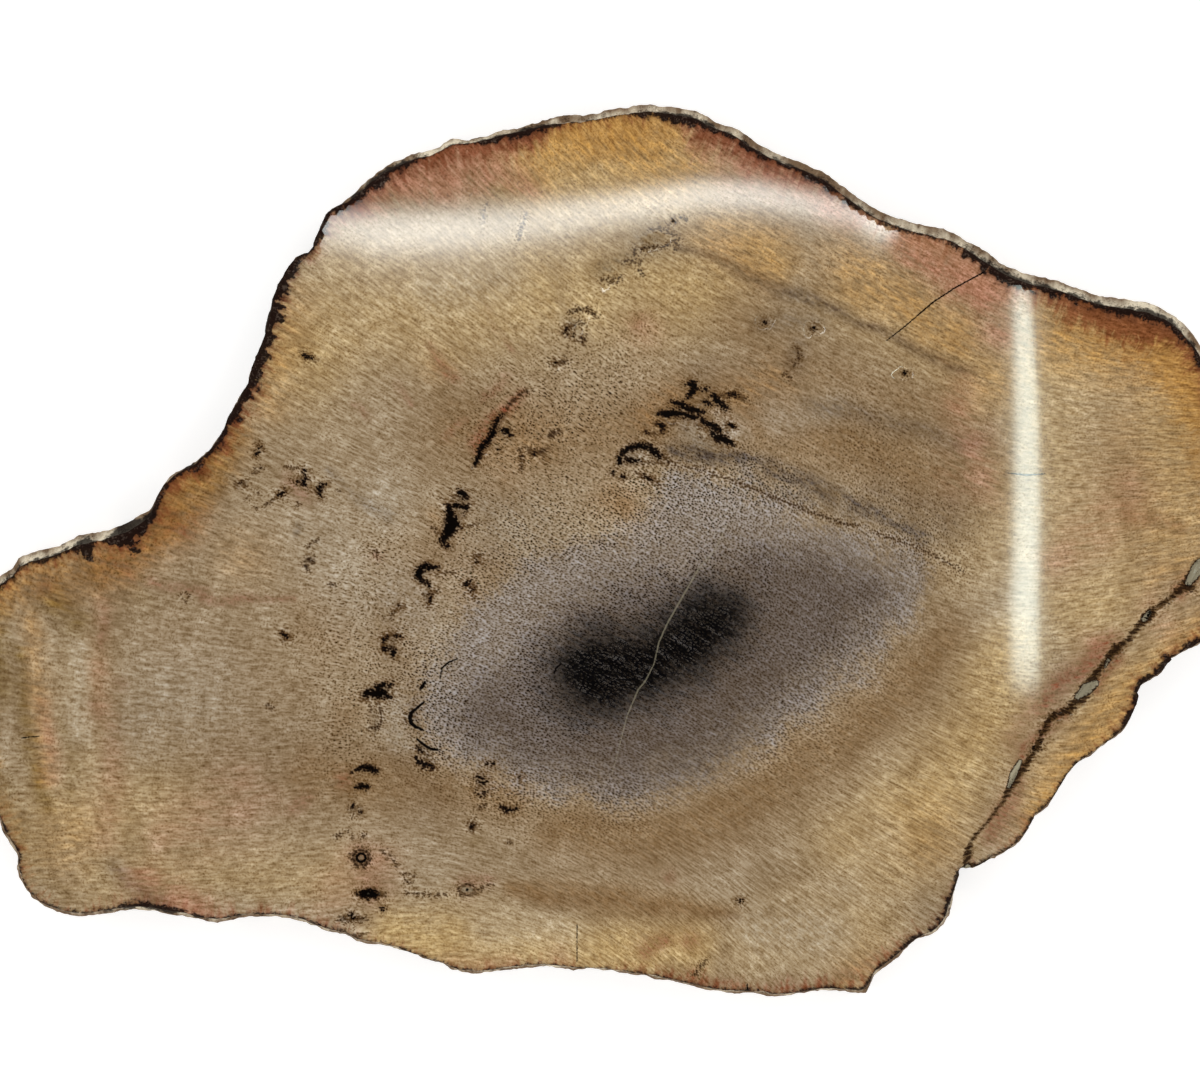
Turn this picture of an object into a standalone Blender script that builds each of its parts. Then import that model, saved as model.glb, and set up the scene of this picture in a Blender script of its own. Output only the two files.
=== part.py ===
"""Petrified wood slab: one stone, a cross-cut of a fossil log lying on its sawn back.

The polished face is up (+Z). Below its edge the log's natural rind flares outwards over a wandering
ledge and down in grooves along the grain. A split with open pockets crosses the right side to a notch,
and rows of smaller pockets cross the left side.
"""
import math

import bmesh
import bpy
from mathutils import Vector, noise

MM = 0.001

# Driving dimensions of the stone
LENGTH = 260.0 * MM
THICKNESS = 12.0 * MM

# The rind: how its wall stands between the sawn back and the polished edge
COLUMN_SPACING = 2.4 * MM
WALL_LEVELS = (0.0, 0.06, 0.24, 0.42, 0.57, 0.7, 0.83, 0.95, 1.0)
NORMAL_REACH = 4
BACK_CHIP = 0.6 * MM
LEDGE_LEVEL = 0.62
LEDGE_WANDER = 0.22
LEDGE_WAVE = 26.0 * MM
LEDGE_RISE = 0.34
RIDGE_DEPTH = 0.55 * MM
EDGE_RIDGE_DEPTH = 0.2 * MM
RIDGE_WIDTH = 4.5 * MM
RIDGE_LENGTH = 30.0 * MM

# The outermost edge of the log, clockwise from above, in mm about the middle of a DRAWN_LENGTH stone.
# Each stretch has its flare: how far the rind stands out below the polished edge, in mm.
DRAWN_LENGTH = 256.8
OUTLINE = (
    ("left end", 1.6, (
        (-111.9, -71.0), (-114.3, -69.1), (-117.0, -63.8), (-116.7, -60.9), (-119.6, -56.5),
        (-120.6, -53.2), (-124.6, -45.4), (-127.2, -35.8), (-128.4, -25.8), (-127.2, -16.2),
        (-125.6, -11.8), (-123.4, -8.2))),
    ("upper left shoulder", 2.1, (
        (-120.6, -5.0), (-117.8, -3.2), (-116.6, -1.0), (-108.4, 1.4), (-104.6, 3.3), (-98.2, 4.6),
        (-90.8, 8.3))),
    ("left slope", 1.0, (
        (-89.6, 10.0), (-87.8, 13.4), (-86.4, 15.2), (-80.8, 18.4), (-78.8, 20.2), (-76.4, 23.6),
        (-74.8, 27.1), (-71.0, 33.6), (-70.4, 37.0), (-68.2, 41.6), (-66.8, 48.1), (-64.6, 54.3),
        (-61.3, 59.0))),
    ("step in the left slope", 0.8, (
        (-59.2, 59.4), (-58.1, 60.8), (-57.6, 62.7), (-56.4, 64.6), (-56.4, 65.8), (-55.6, 67.5))),
    ("top left of the hump", 1.7, (
        (-51.0, 70.6), (-47.2, 74.2), (-42.2, 77.4), (-39.1, 78.4), (-38.4, 79.2), (-33.2, 80.3),
        (-30.2, 82.3), (-27.4, 82.1), (-19.5, 84.1), (-17.0, 84.4), (-15.2, 85.3))),
    ("crown of the hump", 2.3, (
        (-9.0, 86.8), (-2.0, 87.5), (3.4, 88.7), (9.8, 89.2), (19.2, 87.7), (22.6, 85.8),
        (26.6, 84.5), (30.6, 81.8), (34.2, 79.7), (43.8, 76.1), (48.0, 72.9), (53.4, 69.0))),
    ("right shoulder", 2.6, (
        (60.4, 66.0), (69.2, 64.0), (77.0, 59.4), (80.0, 57.2), (83.2, 56.0), (91.4, 53.9),
        (98.6, 51.3), (108.2, 49.8), (114.2, 47.0), (118.5, 42.6))),
    ("right end", 1.8, (
        (121.4, 36.6), (124.8, 25.2), (127.0, 12.2), (127.2, 7.8), (126.2, 5.4), (127.6, 3.6),
        (128.4, -1.8), (128.0, -7.8), (126.2, -13.2))),
    ("flap outside the split", 1.2, (
        (119.4, -18.8), (113.4, -22.0), (111.6, -24.7), (108.0, -26.8), (107.0, -28.4),
        (106.8, -30.6), (103.6, -36.4), (99.4, -39.3), (97.5, -41.0), (95.6, -41.8),
        (92.8, -44.8), (91.2, -47.6), (88.8, -51.0), (86.4, -53.0), (85.2, -55.6),
        (82.4, -59.0), (76.0, -62.5))),
    ("notch at the split", 0.7, (
        (74.0, -63.5), (71.3, -63.2), (70.8, -65.4))),
    ("corner below the notch", 1.7, (
        (70.2, -70.2), (69.6, -72.8), (67.0, -76.2), (62.9, -78.0), (59.4, -81.3), (54.5, -84.7),
        (52.5, -88.4))),
    ("bottom edge", 1.4, (
        (47.8, -88.0), (43.2, -88.0), (34.6, -89.2), (29.1, -88.4), (27.3, -88.7), (20.6, -87.9),
        (12.7, -86.0), (-2.4, -83.8), (-3.9, -84.1), (-11.4, -83.2), (-18.6, -83.8), (-25.4, -84.6),
        (-30.4, -83.8), (-31.8, -82.8), (-36.4, -81.6), (-42.6, -79.3), (-49.4, -78.2), (-51.2, -76.8),
        (-54.2, -76.4), (-60.8, -74.0), (-70.2, -73.2), (-76.6, -74.4), (-83.0, -73.2), (-92.4, -71.7),
        (-103.6, -73.2))),
)

# The split in the polished face, from the right end to the notch: x, y and half width, in mm
SPLIT = (
    (129.8, 5.2, 1.1), (126.0, 2.2, 0.8), (122.6, -0.6, 1.0), (119.4, -2.8, 1.6), (117.0, -6.6, 1.4),
    (113.6, -9.4, 0.5), (110.4, -11.6, 0.5), (108.8, -13.2, 1.2), (106.8, -15.6, 0.7), (105.0, -17.8, 0.6),
    (102.6, -19.8, 1.1), (99.6, -23.2, 0.6), (96.8, -27.6, 1.7), (93.6, -31.4, 0.9), (89.8, -33.2, 0.9),
    (87.8, -36.6, 0.5), (86.4, -40.2, 0.5), (84.0, -43.6, 0.9), (81.8, -47.0, 1.0), (80.0, -50.2, 0.5),
    (77.0, -54.2, 0.4), (73.8, -57.8, 0.5), (73.0, -60.8, 0.9), (72.7, -65.0, 1.2),
)
SPLIT_DEPTH = 0.55 * MM
SPLIT_DEPTH_BY_WIDTH = 0.5
SPLIT_SIDES = 8
SPLIT_ROUGHNESS = 0.18

# Open pockets in the polished face: x, y, length, width, turn from +X in degrees, and depth, in mm
POCKETS = (
    (-29.9, 6.4, 11.5, 3.8, 67, 1.4), (-21.6, 24.4, 16.0, 1.8, 60, 0.8), (-19.2, 24.0, 1.8, 1.5, 0, 0.6),
    (-35.6, -3.8, 4.8, 2.2, 20, 0.9), (-26.6, -3.8, 3.4, 1.9, 60, 0.8), (-35.2, -8.8, 3.2, 1.8, 70, 0.7),
    (-42.6, -18.8, 5.0, 3.0, 75, 0.9), (-45.2, -28.2, 6.2, 3.6, 20, 1.2), (-45.6, -34.0, 5.4, 1.9, 95, 0.8),
    (-37.6, -33.2, 6.4, 1.3, 112, 0.7), (-35.4, -40.6, 5.6, 2.0, 125, 0.8), (-47.2, -43.4, 4.6, 1.7, 5, 0.8),
    (-48.2, -47.0, 3.6, 1.5, 10, 0.7), (-49.6, -51.8, 3.6, 1.7, 20, 0.7), (-48.2, -61.4, 4.0, 3.4, 0, 1.0),
    (-46.6, -68.4, 4.4, 2.6, 0, 1.1), (-27.2, -67.4, 3.8, 2.8, 0, 0.7), (-50.4, -73.2, 4.2, 1.8, 0, 0.6),
    (-24.6, -46.0, 7.0, 1.4, 90, 0.6), (-26.0, -55.2, 2.8, 1.8, 60, 0.7), (-19.0, -51.4, 2.6, 1.6, 0, 0.6),
    (17.2, 28.6, 10.0, 3.0, 32, 0.6), (24.4, 25.2, 5.6, 3.2, 115, 0.6), (5.6, 18.2, 5.2, 2.8, 15, 0.9),
    (11.4, 18.6, 5.0, 2.0, 150, 0.7), (-5.0, 45.4, 5.2, 2.4, 50, 0.5), (-8.6, 37.6, 3.8, 1.6, 20, 0.5),
    (1.4, 54.2, 4.0, 1.6, 30, 0.5), (10.4, 61.4, 6.0, 1.4, 22, 0.5), (-56.4, 12.6, 3.0, 2.2, 70, 0.8),
    (-60.2, 14.4, 3.0, 1.9, 60, 0.6), (-72.0, 13.6, 2.8, 1.5, 10, 0.6), (-58.6, -1.8, 2.6, 2.2, 30, 0.6),
    (32.4, 45.8, 2.6, 1.8, 20, 0.5), (42.4, 44.6, 2.8, 2.0, 10, 0.5), (60.4, 35.6, 2.6, 1.6, 20, 0.5),
)
LARGE_POCKET = 5.0 * MM
POCKET_ROUGHNESS = 0.32
POCKET_LUMPS = 1.7
POCKET_LUMP_START = 7.0

STONE_COLOUR = (0.44, 0.31, 0.18, 1.0)
STONE_ROUGHNESS = 0.3


def smoothstep(amount):
    amount = min(max(amount, 0.0), 1.0)
    return amount * amount * (3.0 - 2.0 * amount)


def tangents(points):
    """The direction of a closed smooth curve at each of its points."""
    result = []
    for index, point in enumerate(points):
        before = points[index - 1]
        after = points[(index + 1) % len(points)]
        result.append((after - before) / ((after - point).length + (point - before).length))
    return result


def smooth_curve(points, spacing):
    """Points about spacing apart on a closed smooth curve through the given ones."""
    directions = tangents(points)
    curve = []
    for index, start in enumerate(points):
        following = (index + 1) % len(points)
        end = points[following]
        length = (end - start).length
        steps = max(1, round(length / spacing))
        for step in range(steps):
            t = step / steps
            along_start = (t - 2.0 * t ** 2 + t ** 3) * length * directions[index]
            along_end = (t ** 3 - t ** 2) * length * directions[following]
            curve.append(start.lerp(end, smoothstep(t)) + along_start + along_end)
    return curve


def outline():
    """The log's outermost edge as points of x, y and the flare there."""
    scale = LENGTH / DRAWN_LENGTH
    points = [Vector((x * scale, y * scale, flare * MM))
              for stretch, flare, places in OUTLINE for x, y in places]
    return smooth_curve(points, COLUMN_SPACING)


def outward_directions(edge):
    """The outward direction at each point of a clockwise edge, evened out along it."""
    count = len(edge)
    square = []
    for index in range(count):
        along = edge[(index + 1) % count] - edge[index - 1]
        square.append(Vector((-along.y, along.x)).normalized())
    evened = []
    for index in range(count):
        total = Vector((0.0, 0.0))
        for reach in range(-NORMAL_REACH, NORMAL_REACH + 1):
            total += square[(index + reach) % count]
        evened.append(total.normalized())
    return evened


def inset(place, level):
    """How far the wall stands inside the outermost edge, at a place on it and a level from 0 to 1."""
    x, y, flare = place
    ledge = LEDGE_LEVEL + LEDGE_WANDER * noise.noise(Vector((x, y, 0.0)) / LEDGE_WAVE)
    under_face = smoothstep((level - ledge) / LEDGE_RISE + 0.5) if level < 1.0 else 1.0
    chipped = BACK_CHIP if level == 0.0 else 0.0
    grain = Vector((x / RIDGE_WIDTH, y / RIDGE_WIDTH, level * THICKNESS / RIDGE_LENGTH))
    depth = EDGE_RIDGE_DEPTH + (RIDGE_DEPTH - EDGE_RIDGE_DEPTH) * (1.0 - under_face)
    ridge = depth * (0.5 + 0.5 * noise.turbulence(grain, 3, False))
    return flare * under_face + chipped + ridge


def wall_rings():
    """The wall's rings of points from the sawn back up to the polished edge."""
    edge = outline()
    outward = outward_directions(edge)
    rings = []
    for level in WALL_LEVELS:
        ring = []
        for place, direction in zip(edge, outward):
            flat = place.xy - direction * inset(place, level)
            ring.append(Vector((flat.x, flat.y, level * THICKNESS)))
        rings.append(ring)
    return rings


def middle_of(rings):
    """The middle of the stone's length and width."""
    xs = [point.x for ring in rings for point in ring]
    ys = [point.y for ring in rings for point in ring]
    return Vector(((min(xs) + max(xs)) / 2, (min(ys) + max(ys)) / 2, 0.0))


def add_ring(bm, points):
    return [bm.verts.new(point) for point in points]


def bridge(bm, lower, upper):
    """Faces between two rings with the same number of vertices."""
    for index in range(len(lower)):
        following = (index + 1) % len(lower)
        bm.faces.new((lower[index], lower[following], upper[following], upper[index]))


def new_object(name, bm, smooth_angle=None):
    """An object in the scene with the finished mesh, facing outwards."""
    bmesh.ops.recalc_face_normals(bm, faces=bm.faces)
    mesh = bpy.data.meshes.new(name)
    bm.to_mesh(mesh)
    bm.free()
    if smooth_angle is not None:
        mesh.shade_smooth()
        mesh.set_sharp_from_angle(angle=smooth_angle)
    made = bpy.data.objects.new(name, mesh)
    bpy.context.collection.objects.link(made)
    return made


def stone_block(rings, middle):
    """The uncut stone: its wall of rings, closed by the sawn back and the polished face."""
    bm = bmesh.new()
    loops = [add_ring(bm, [point - middle for point in ring]) for ring in rings]
    for lower, upper in zip(loops, loops[1:]):
        bridge(bm, lower, upper)
    bm.faces.new(loops[0])
    bm.faces.new(loops[-1])
    return new_object("slab", bm, math.radians(40))


def split_loops(middle):
    """Rings across the split, each an uneven oval half above and half below the polished face."""
    path = [Vector((x * MM, y * MM, 0.0)) for x, y, half_width in SPLIT]
    loops = []
    for index, (x, y, half_width) in enumerate(SPLIT):
        ahead = path[min(index + 1, len(path) - 1)] - path[max(index - 1, 0)]
        across = Vector((-ahead.y, ahead.x, 0.0)).normalized()
        depth = SPLIT_DEPTH + SPLIT_DEPTH_BY_WIDTH * half_width * MM
        loop = []
        for side in range(SPLIT_SIDES):
            turn = 2.0 * math.pi * (side + 0.5) / SPLIT_SIDES
            rough = 1.0 + SPLIT_ROUGHNESS * noise.noise(Vector((x, y, 3.0 * side)))
            offset = across * math.cos(turn) * half_width * MM * rough
            height = THICKNESS + math.sin(turn) * depth * rough
            loop.append(path[index] + offset + Vector((0.0, 0.0, height)) - middle)
        loops.append(loop)
    return loops


def add_split(bm, middle):
    loops = [add_ring(bm, loop) for loop in split_loops(middle)]
    for near, far in zip(loops, loops[1:]):
        bridge(bm, near, far)
    bm.faces.new(loops[0])
    bm.faces.new(loops[-1])


def add_pocket(bm, pocket, middle):
    """A lumpy blob half sunk in the polished face."""
    x, y, length, width, turn, depth = pocket
    half = Vector((length, width, 2.0 * depth)) * MM / 2
    detail = 3 if length * MM > LARGE_POCKET else 2
    blob = bmesh.ops.create_icosphere(bm, subdivisions=detail, radius=1.0)["verts"]
    turned = math.radians(turn)
    for vert in blob:
        lump = 1.0 + POCKET_ROUGHNESS * noise.noise(vert.co * POCKET_LUMPS + Vector((x, y, POCKET_LUMP_START)))
        local = Vector((vert.co.x * half.x, vert.co.y * half.y, vert.co.z * half.z)) * lump
        vert.co = Vector((
            x * MM + local.x * math.cos(turned) - local.y * math.sin(turned),
            y * MM + local.x * math.sin(turned) + local.y * math.cos(turned),
            THICKNESS + local.z)) - middle


def opening_cutter(middle):
    """The split and the pockets, cut from the polished face."""
    bm = bmesh.new()
    add_split(bm, middle)
    for pocket in POCKETS:
        add_pocket(bm, pocket, middle)
    cutter = new_object("face_openings", bm)
    cutter.hide_render = True
    cutter.display_type = "WIRE"
    return cutter


def stone_material():
    """Polished brown chalcedony."""
    material = bpy.data.materials.new("petrified_wood")
    material.use_nodes = True
    shader = material.node_tree.nodes["Principled BSDF"]
    shader.inputs["Base Color"].default_value = STONE_COLOUR
    shader.inputs["Roughness"].default_value = STONE_ROUGHNESS
    shader.inputs["Metallic"].default_value = 0.0
    return material


for old in list(bpy.data.objects):
    bpy.data.objects.remove(old)

rind = wall_rings()
centre = middle_of(rind)
slab = stone_block(rind, centre)
slab.data.materials.append(stone_material())

openings = slab.modifiers.new("openings", "BOOLEAN")
openings.operation = "DIFFERENCE"
openings.solver = "EXACT"
openings.object = opening_cutter(centre)
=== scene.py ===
import math

import bmesh
import bpy
import numpy as np
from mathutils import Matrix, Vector, geometry, kdtree, noise
from mathutils.bvhtree import BVHTree


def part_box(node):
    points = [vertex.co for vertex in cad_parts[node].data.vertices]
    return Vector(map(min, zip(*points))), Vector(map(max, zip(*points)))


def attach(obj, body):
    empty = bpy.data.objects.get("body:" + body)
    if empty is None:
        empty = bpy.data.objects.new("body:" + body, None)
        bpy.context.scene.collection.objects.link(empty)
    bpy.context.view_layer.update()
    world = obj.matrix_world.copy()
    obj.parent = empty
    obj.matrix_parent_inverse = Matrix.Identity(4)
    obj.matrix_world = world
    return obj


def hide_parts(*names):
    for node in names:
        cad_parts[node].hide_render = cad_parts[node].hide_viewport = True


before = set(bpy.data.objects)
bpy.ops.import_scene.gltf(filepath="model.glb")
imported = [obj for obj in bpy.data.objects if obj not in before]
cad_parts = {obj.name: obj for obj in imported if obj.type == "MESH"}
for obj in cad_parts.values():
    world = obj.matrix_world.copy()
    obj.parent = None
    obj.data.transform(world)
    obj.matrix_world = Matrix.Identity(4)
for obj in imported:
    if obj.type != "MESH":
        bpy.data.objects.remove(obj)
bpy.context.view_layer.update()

# The slab's body. One stone, sawn across a petrified log and lying on its sawn back: a flat polished
# face above, the log's natural rind round the side. The face dips into a split along the right side
# and into small open pockets. Its shape is read off the CAD solid and given a finer skin.
MM = 0.001
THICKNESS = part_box("slab")[1].z / MM
RIM_LEVEL = 2.88
RIM_COLUMNS = 1300
RIM_EVENING = 7
WALL_LEVELS = (0.0, 0.3, 0.72, 1.3, 2.0, 2.88, 3.6, 4.3, 5.04, 5.7, 6.3, 6.84, 7.4, 7.9, 8.4, 8.9, 9.4,
               9.96, 10.4, 10.9, 11.4, 11.7, 11.92)
REACH = 4.0
MOUTH_REACH = 12
MOUTH_DEPTH = 0.6
ARRIS = 0.16
RIND_RELIEF = 0.5
RIND_WAVE = 2.4
RIND_RUN = 8.0
EDGE_CHIP = 0.32
EDGE_WAVE = 1.5
UNFOLDING = 8
END_CLEAR = 0.02
FOOT_RUN = 0.8
HEAD_RUN = 1.5
CHIP_LEVEL = 8.0
CHIP_START = 5.5
FACE_SPACING = 1.15
FINE_SPACING = 0.34
BACK_SPACING = 3.0
FINE_BORDER = 0.75
COARSE_BORDER = 0.9
FACE_BORDER = 0.45
BACK_BORDER = 1.5
DROP = 5
CAD_WELD = 1e-6
SKIN_WELD = 2e-6

solid = bmesh.new()
solid.from_mesh(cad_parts["slab"].data)
bmesh.ops.remove_doubles(solid, verts=solid.verts, dist=CAD_WELD)
surface = BVHTree.FromBMesh(solid)


def ring_at(level):
    """The CAD wall's own points at one of its levels, in order round the stone, in mm."""
    low = {vert for vert in solid.verts if abs(vert.co.z / MM - level) < 0.002}
    ring = [min(low, key=lambda vert: vert.co.x + vert.co.y)]
    while True:
        ahead = [edge.other_vert(ring[-1]) for edge in ring[-1].link_edges]
        ahead = [vert for vert in ahead if vert in low and vert not in ring[-2:] and vert is not ring[0]]
        if not ahead:
            return np.array([vert.co.xy / MM for vert in ring])
        ring.append(ahead[0])


def turn_left(ring):
    """The ring in the order that keeps the stone on the left."""
    ahead = np.roll(ring, -1, 0)
    area = (ring[:, 0] * ahead[:, 1] - ahead[:, 0] * ring[:, 1]).sum()
    return ring if area > 0 else ring[::-1]


def even_steps(ring, count):
    """The ring as that many points the same distance apart."""
    closed = np.vstack((ring, ring[:1]))
    along = np.concatenate(([0.0], np.cumsum(np.linalg.norm(np.diff(closed, axis=0), axis=1))))
    stops = np.arange(count) / count * along[-1]
    return np.stack([np.interp(stops, along, closed[:, axis]) for axis in (0, 1)], axis=1), along[-1]


rim, RIM_LENGTH = even_steps(turn_left(ring_at(RIM_LEVEL)), RIM_COLUMNS)
ahead = np.roll(rim, -1, 0) - np.roll(rim, 1, 0)
outward = np.stack((ahead[:, 1], -ahead[:, 0]), axis=1)
outward /= np.linalg.norm(outward, axis=1)[:, None]
outward = sum(np.roll(outward, shift, 0) for shift in range(-RIM_EVENING, RIM_EVENING + 1))
outward /= np.linalg.norm(outward, axis=1)[:, None]


def wall_inset(level):
    """How far the CAD wall is inside the rim at a level, column by column, spanning the split's mouths."""
    found = np.full(RIM_COLUMNS, np.nan)
    for column in range(RIM_COLUMNS):
        start = (rim[column] + outward[column] * REACH) * MM
        inwards = Vector((*-outward[column], 0.0))
        height = min(max(level, END_CLEAR), THICKNESS - END_CLEAR) * MM
        hit = surface.ray_cast(Vector((*start, height)), inwards, 2 * REACH * MM)
        if hit[0] is not None and hit[1].dot(inwards) < 0:
            found[column] = hit[3] / MM - REACH
    beside = np.stack([np.roll(found, shift) for shift in range(-MOUTH_REACH, MOUTH_REACH + 1)])
    good = np.flatnonzero(found - np.nanmedian(beside, axis=0) < MOUTH_DEPTH)
    return np.interp(np.arange(RIM_COLUMNS), good, found[good], period=RIM_COLUMNS)


def eaten(level):
    """How far weather has eaten the rind back at a level, column by column: grooves and small edge chips."""
    below = min(level / FOOT_RUN, (THICKNESS - level) / HEAD_RUN, 1.0)
    above = max(0.0, (level - CHIP_LEVEL) / (THICKNESS - CHIP_LEVEL))
    found = []
    for x, y in rim:
        groove = noise.turbulence(Vector((x / RIND_WAVE, y / RIND_WAVE, level / RIND_RUN)), 3, True)
        chip = max(0.0, noise.noise(Vector((x / EDGE_WAVE, y / EDGE_WAVE, CHIP_START))))
        found.append(RIND_RELIEF * groove * below + EDGE_CHIP * chip * above)
    return np.array(found)


def ring_in(level, inset):
    """The stone's outline at a level: the rim moved in, evened so that it can't double back, then eaten."""
    ring = rim - outward * inset[:, None]
    for _ in range(round(UNFOLDING * np.median(inset))):
        ring = ring / 2 + (np.roll(ring, 1, 0) + np.roll(ring, -1, 0)) / 4
    return ring - outward * eaten(level)[:, None]


insets = np.array([wall_inset(level) for level in WALL_LEVELS])
wall = [ring_in(level, inset) for level, inset in zip(WALL_LEVELS, insets)]
arris = ring_in(WALL_LEVELS[-1], insets[-1] + ARRIS)


# Places on the face are written in the photo's pixels, five to a mm; the stone's origin is at this one
MIDDLE_RIGHT = 603
MIDDLE_DOWN = 551
PER_MM = 5
KNOT_CORNERS = 14


def drawn(*places):
    """Places on the face, which are written in fifths of a mm right and down, as mm from its middle."""
    places = np.array(places, float)
    right, up = (places[:, 0] - MIDDLE_RIGHT) / PER_MM, (MIDDLE_DOWN - places[:, 1]) / PER_MM
    return np.column_stack((right, up, places[:, 2:] / PER_MM))


def beside(points, stroke, reach):
    """Stretch by stretch of a stroke: which points are in reach, how far off, and its half width there."""
    path = drawn(*stroke)
    for start, end in zip(path, path[1:] if len(path) > 1 else path):
        low = np.minimum(start[:2], end[:2]) - reach
        high = np.maximum(start[:2], end[:2]) + reach
        near = np.flatnonzero(np.all((points > low) & (points < high), axis=1))
        along = end[:2] - start[:2]
        there = points[near] - start[:2]
        share = np.clip(there @ along / max(along @ along, 1e-9), 0, 1)
        away = np.linalg.norm(there - share[:, None] * along, axis=1)
        yield near, away, start[2] + share * (end[2] - start[2])


def gap(points, strokes, far=2.0):
    """The distance in mm from each point to the nearest stroke's edge, negative inside it, at most far."""
    nearest = np.full(len(points), far)
    for stroke in strokes:
        widest = max(place[2] for place in stroke) / PER_MM
        for near, away, wide in beside(points, stroke, widest + far):
            nearest[near] = np.minimum(nearest[near], away - wide)
    return nearest


def ring_round(x, y, across, down, half):
    """A stroke that closes round a place: half its breadth and height, then its own half width."""
    turns = [step * math.tau / KNOT_CORNERS for step in range(KNOT_CORNERS + 1)]
    return tuple((x + across * math.cos(turn), y + down * math.sin(turn), half) for turn in turns)


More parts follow.
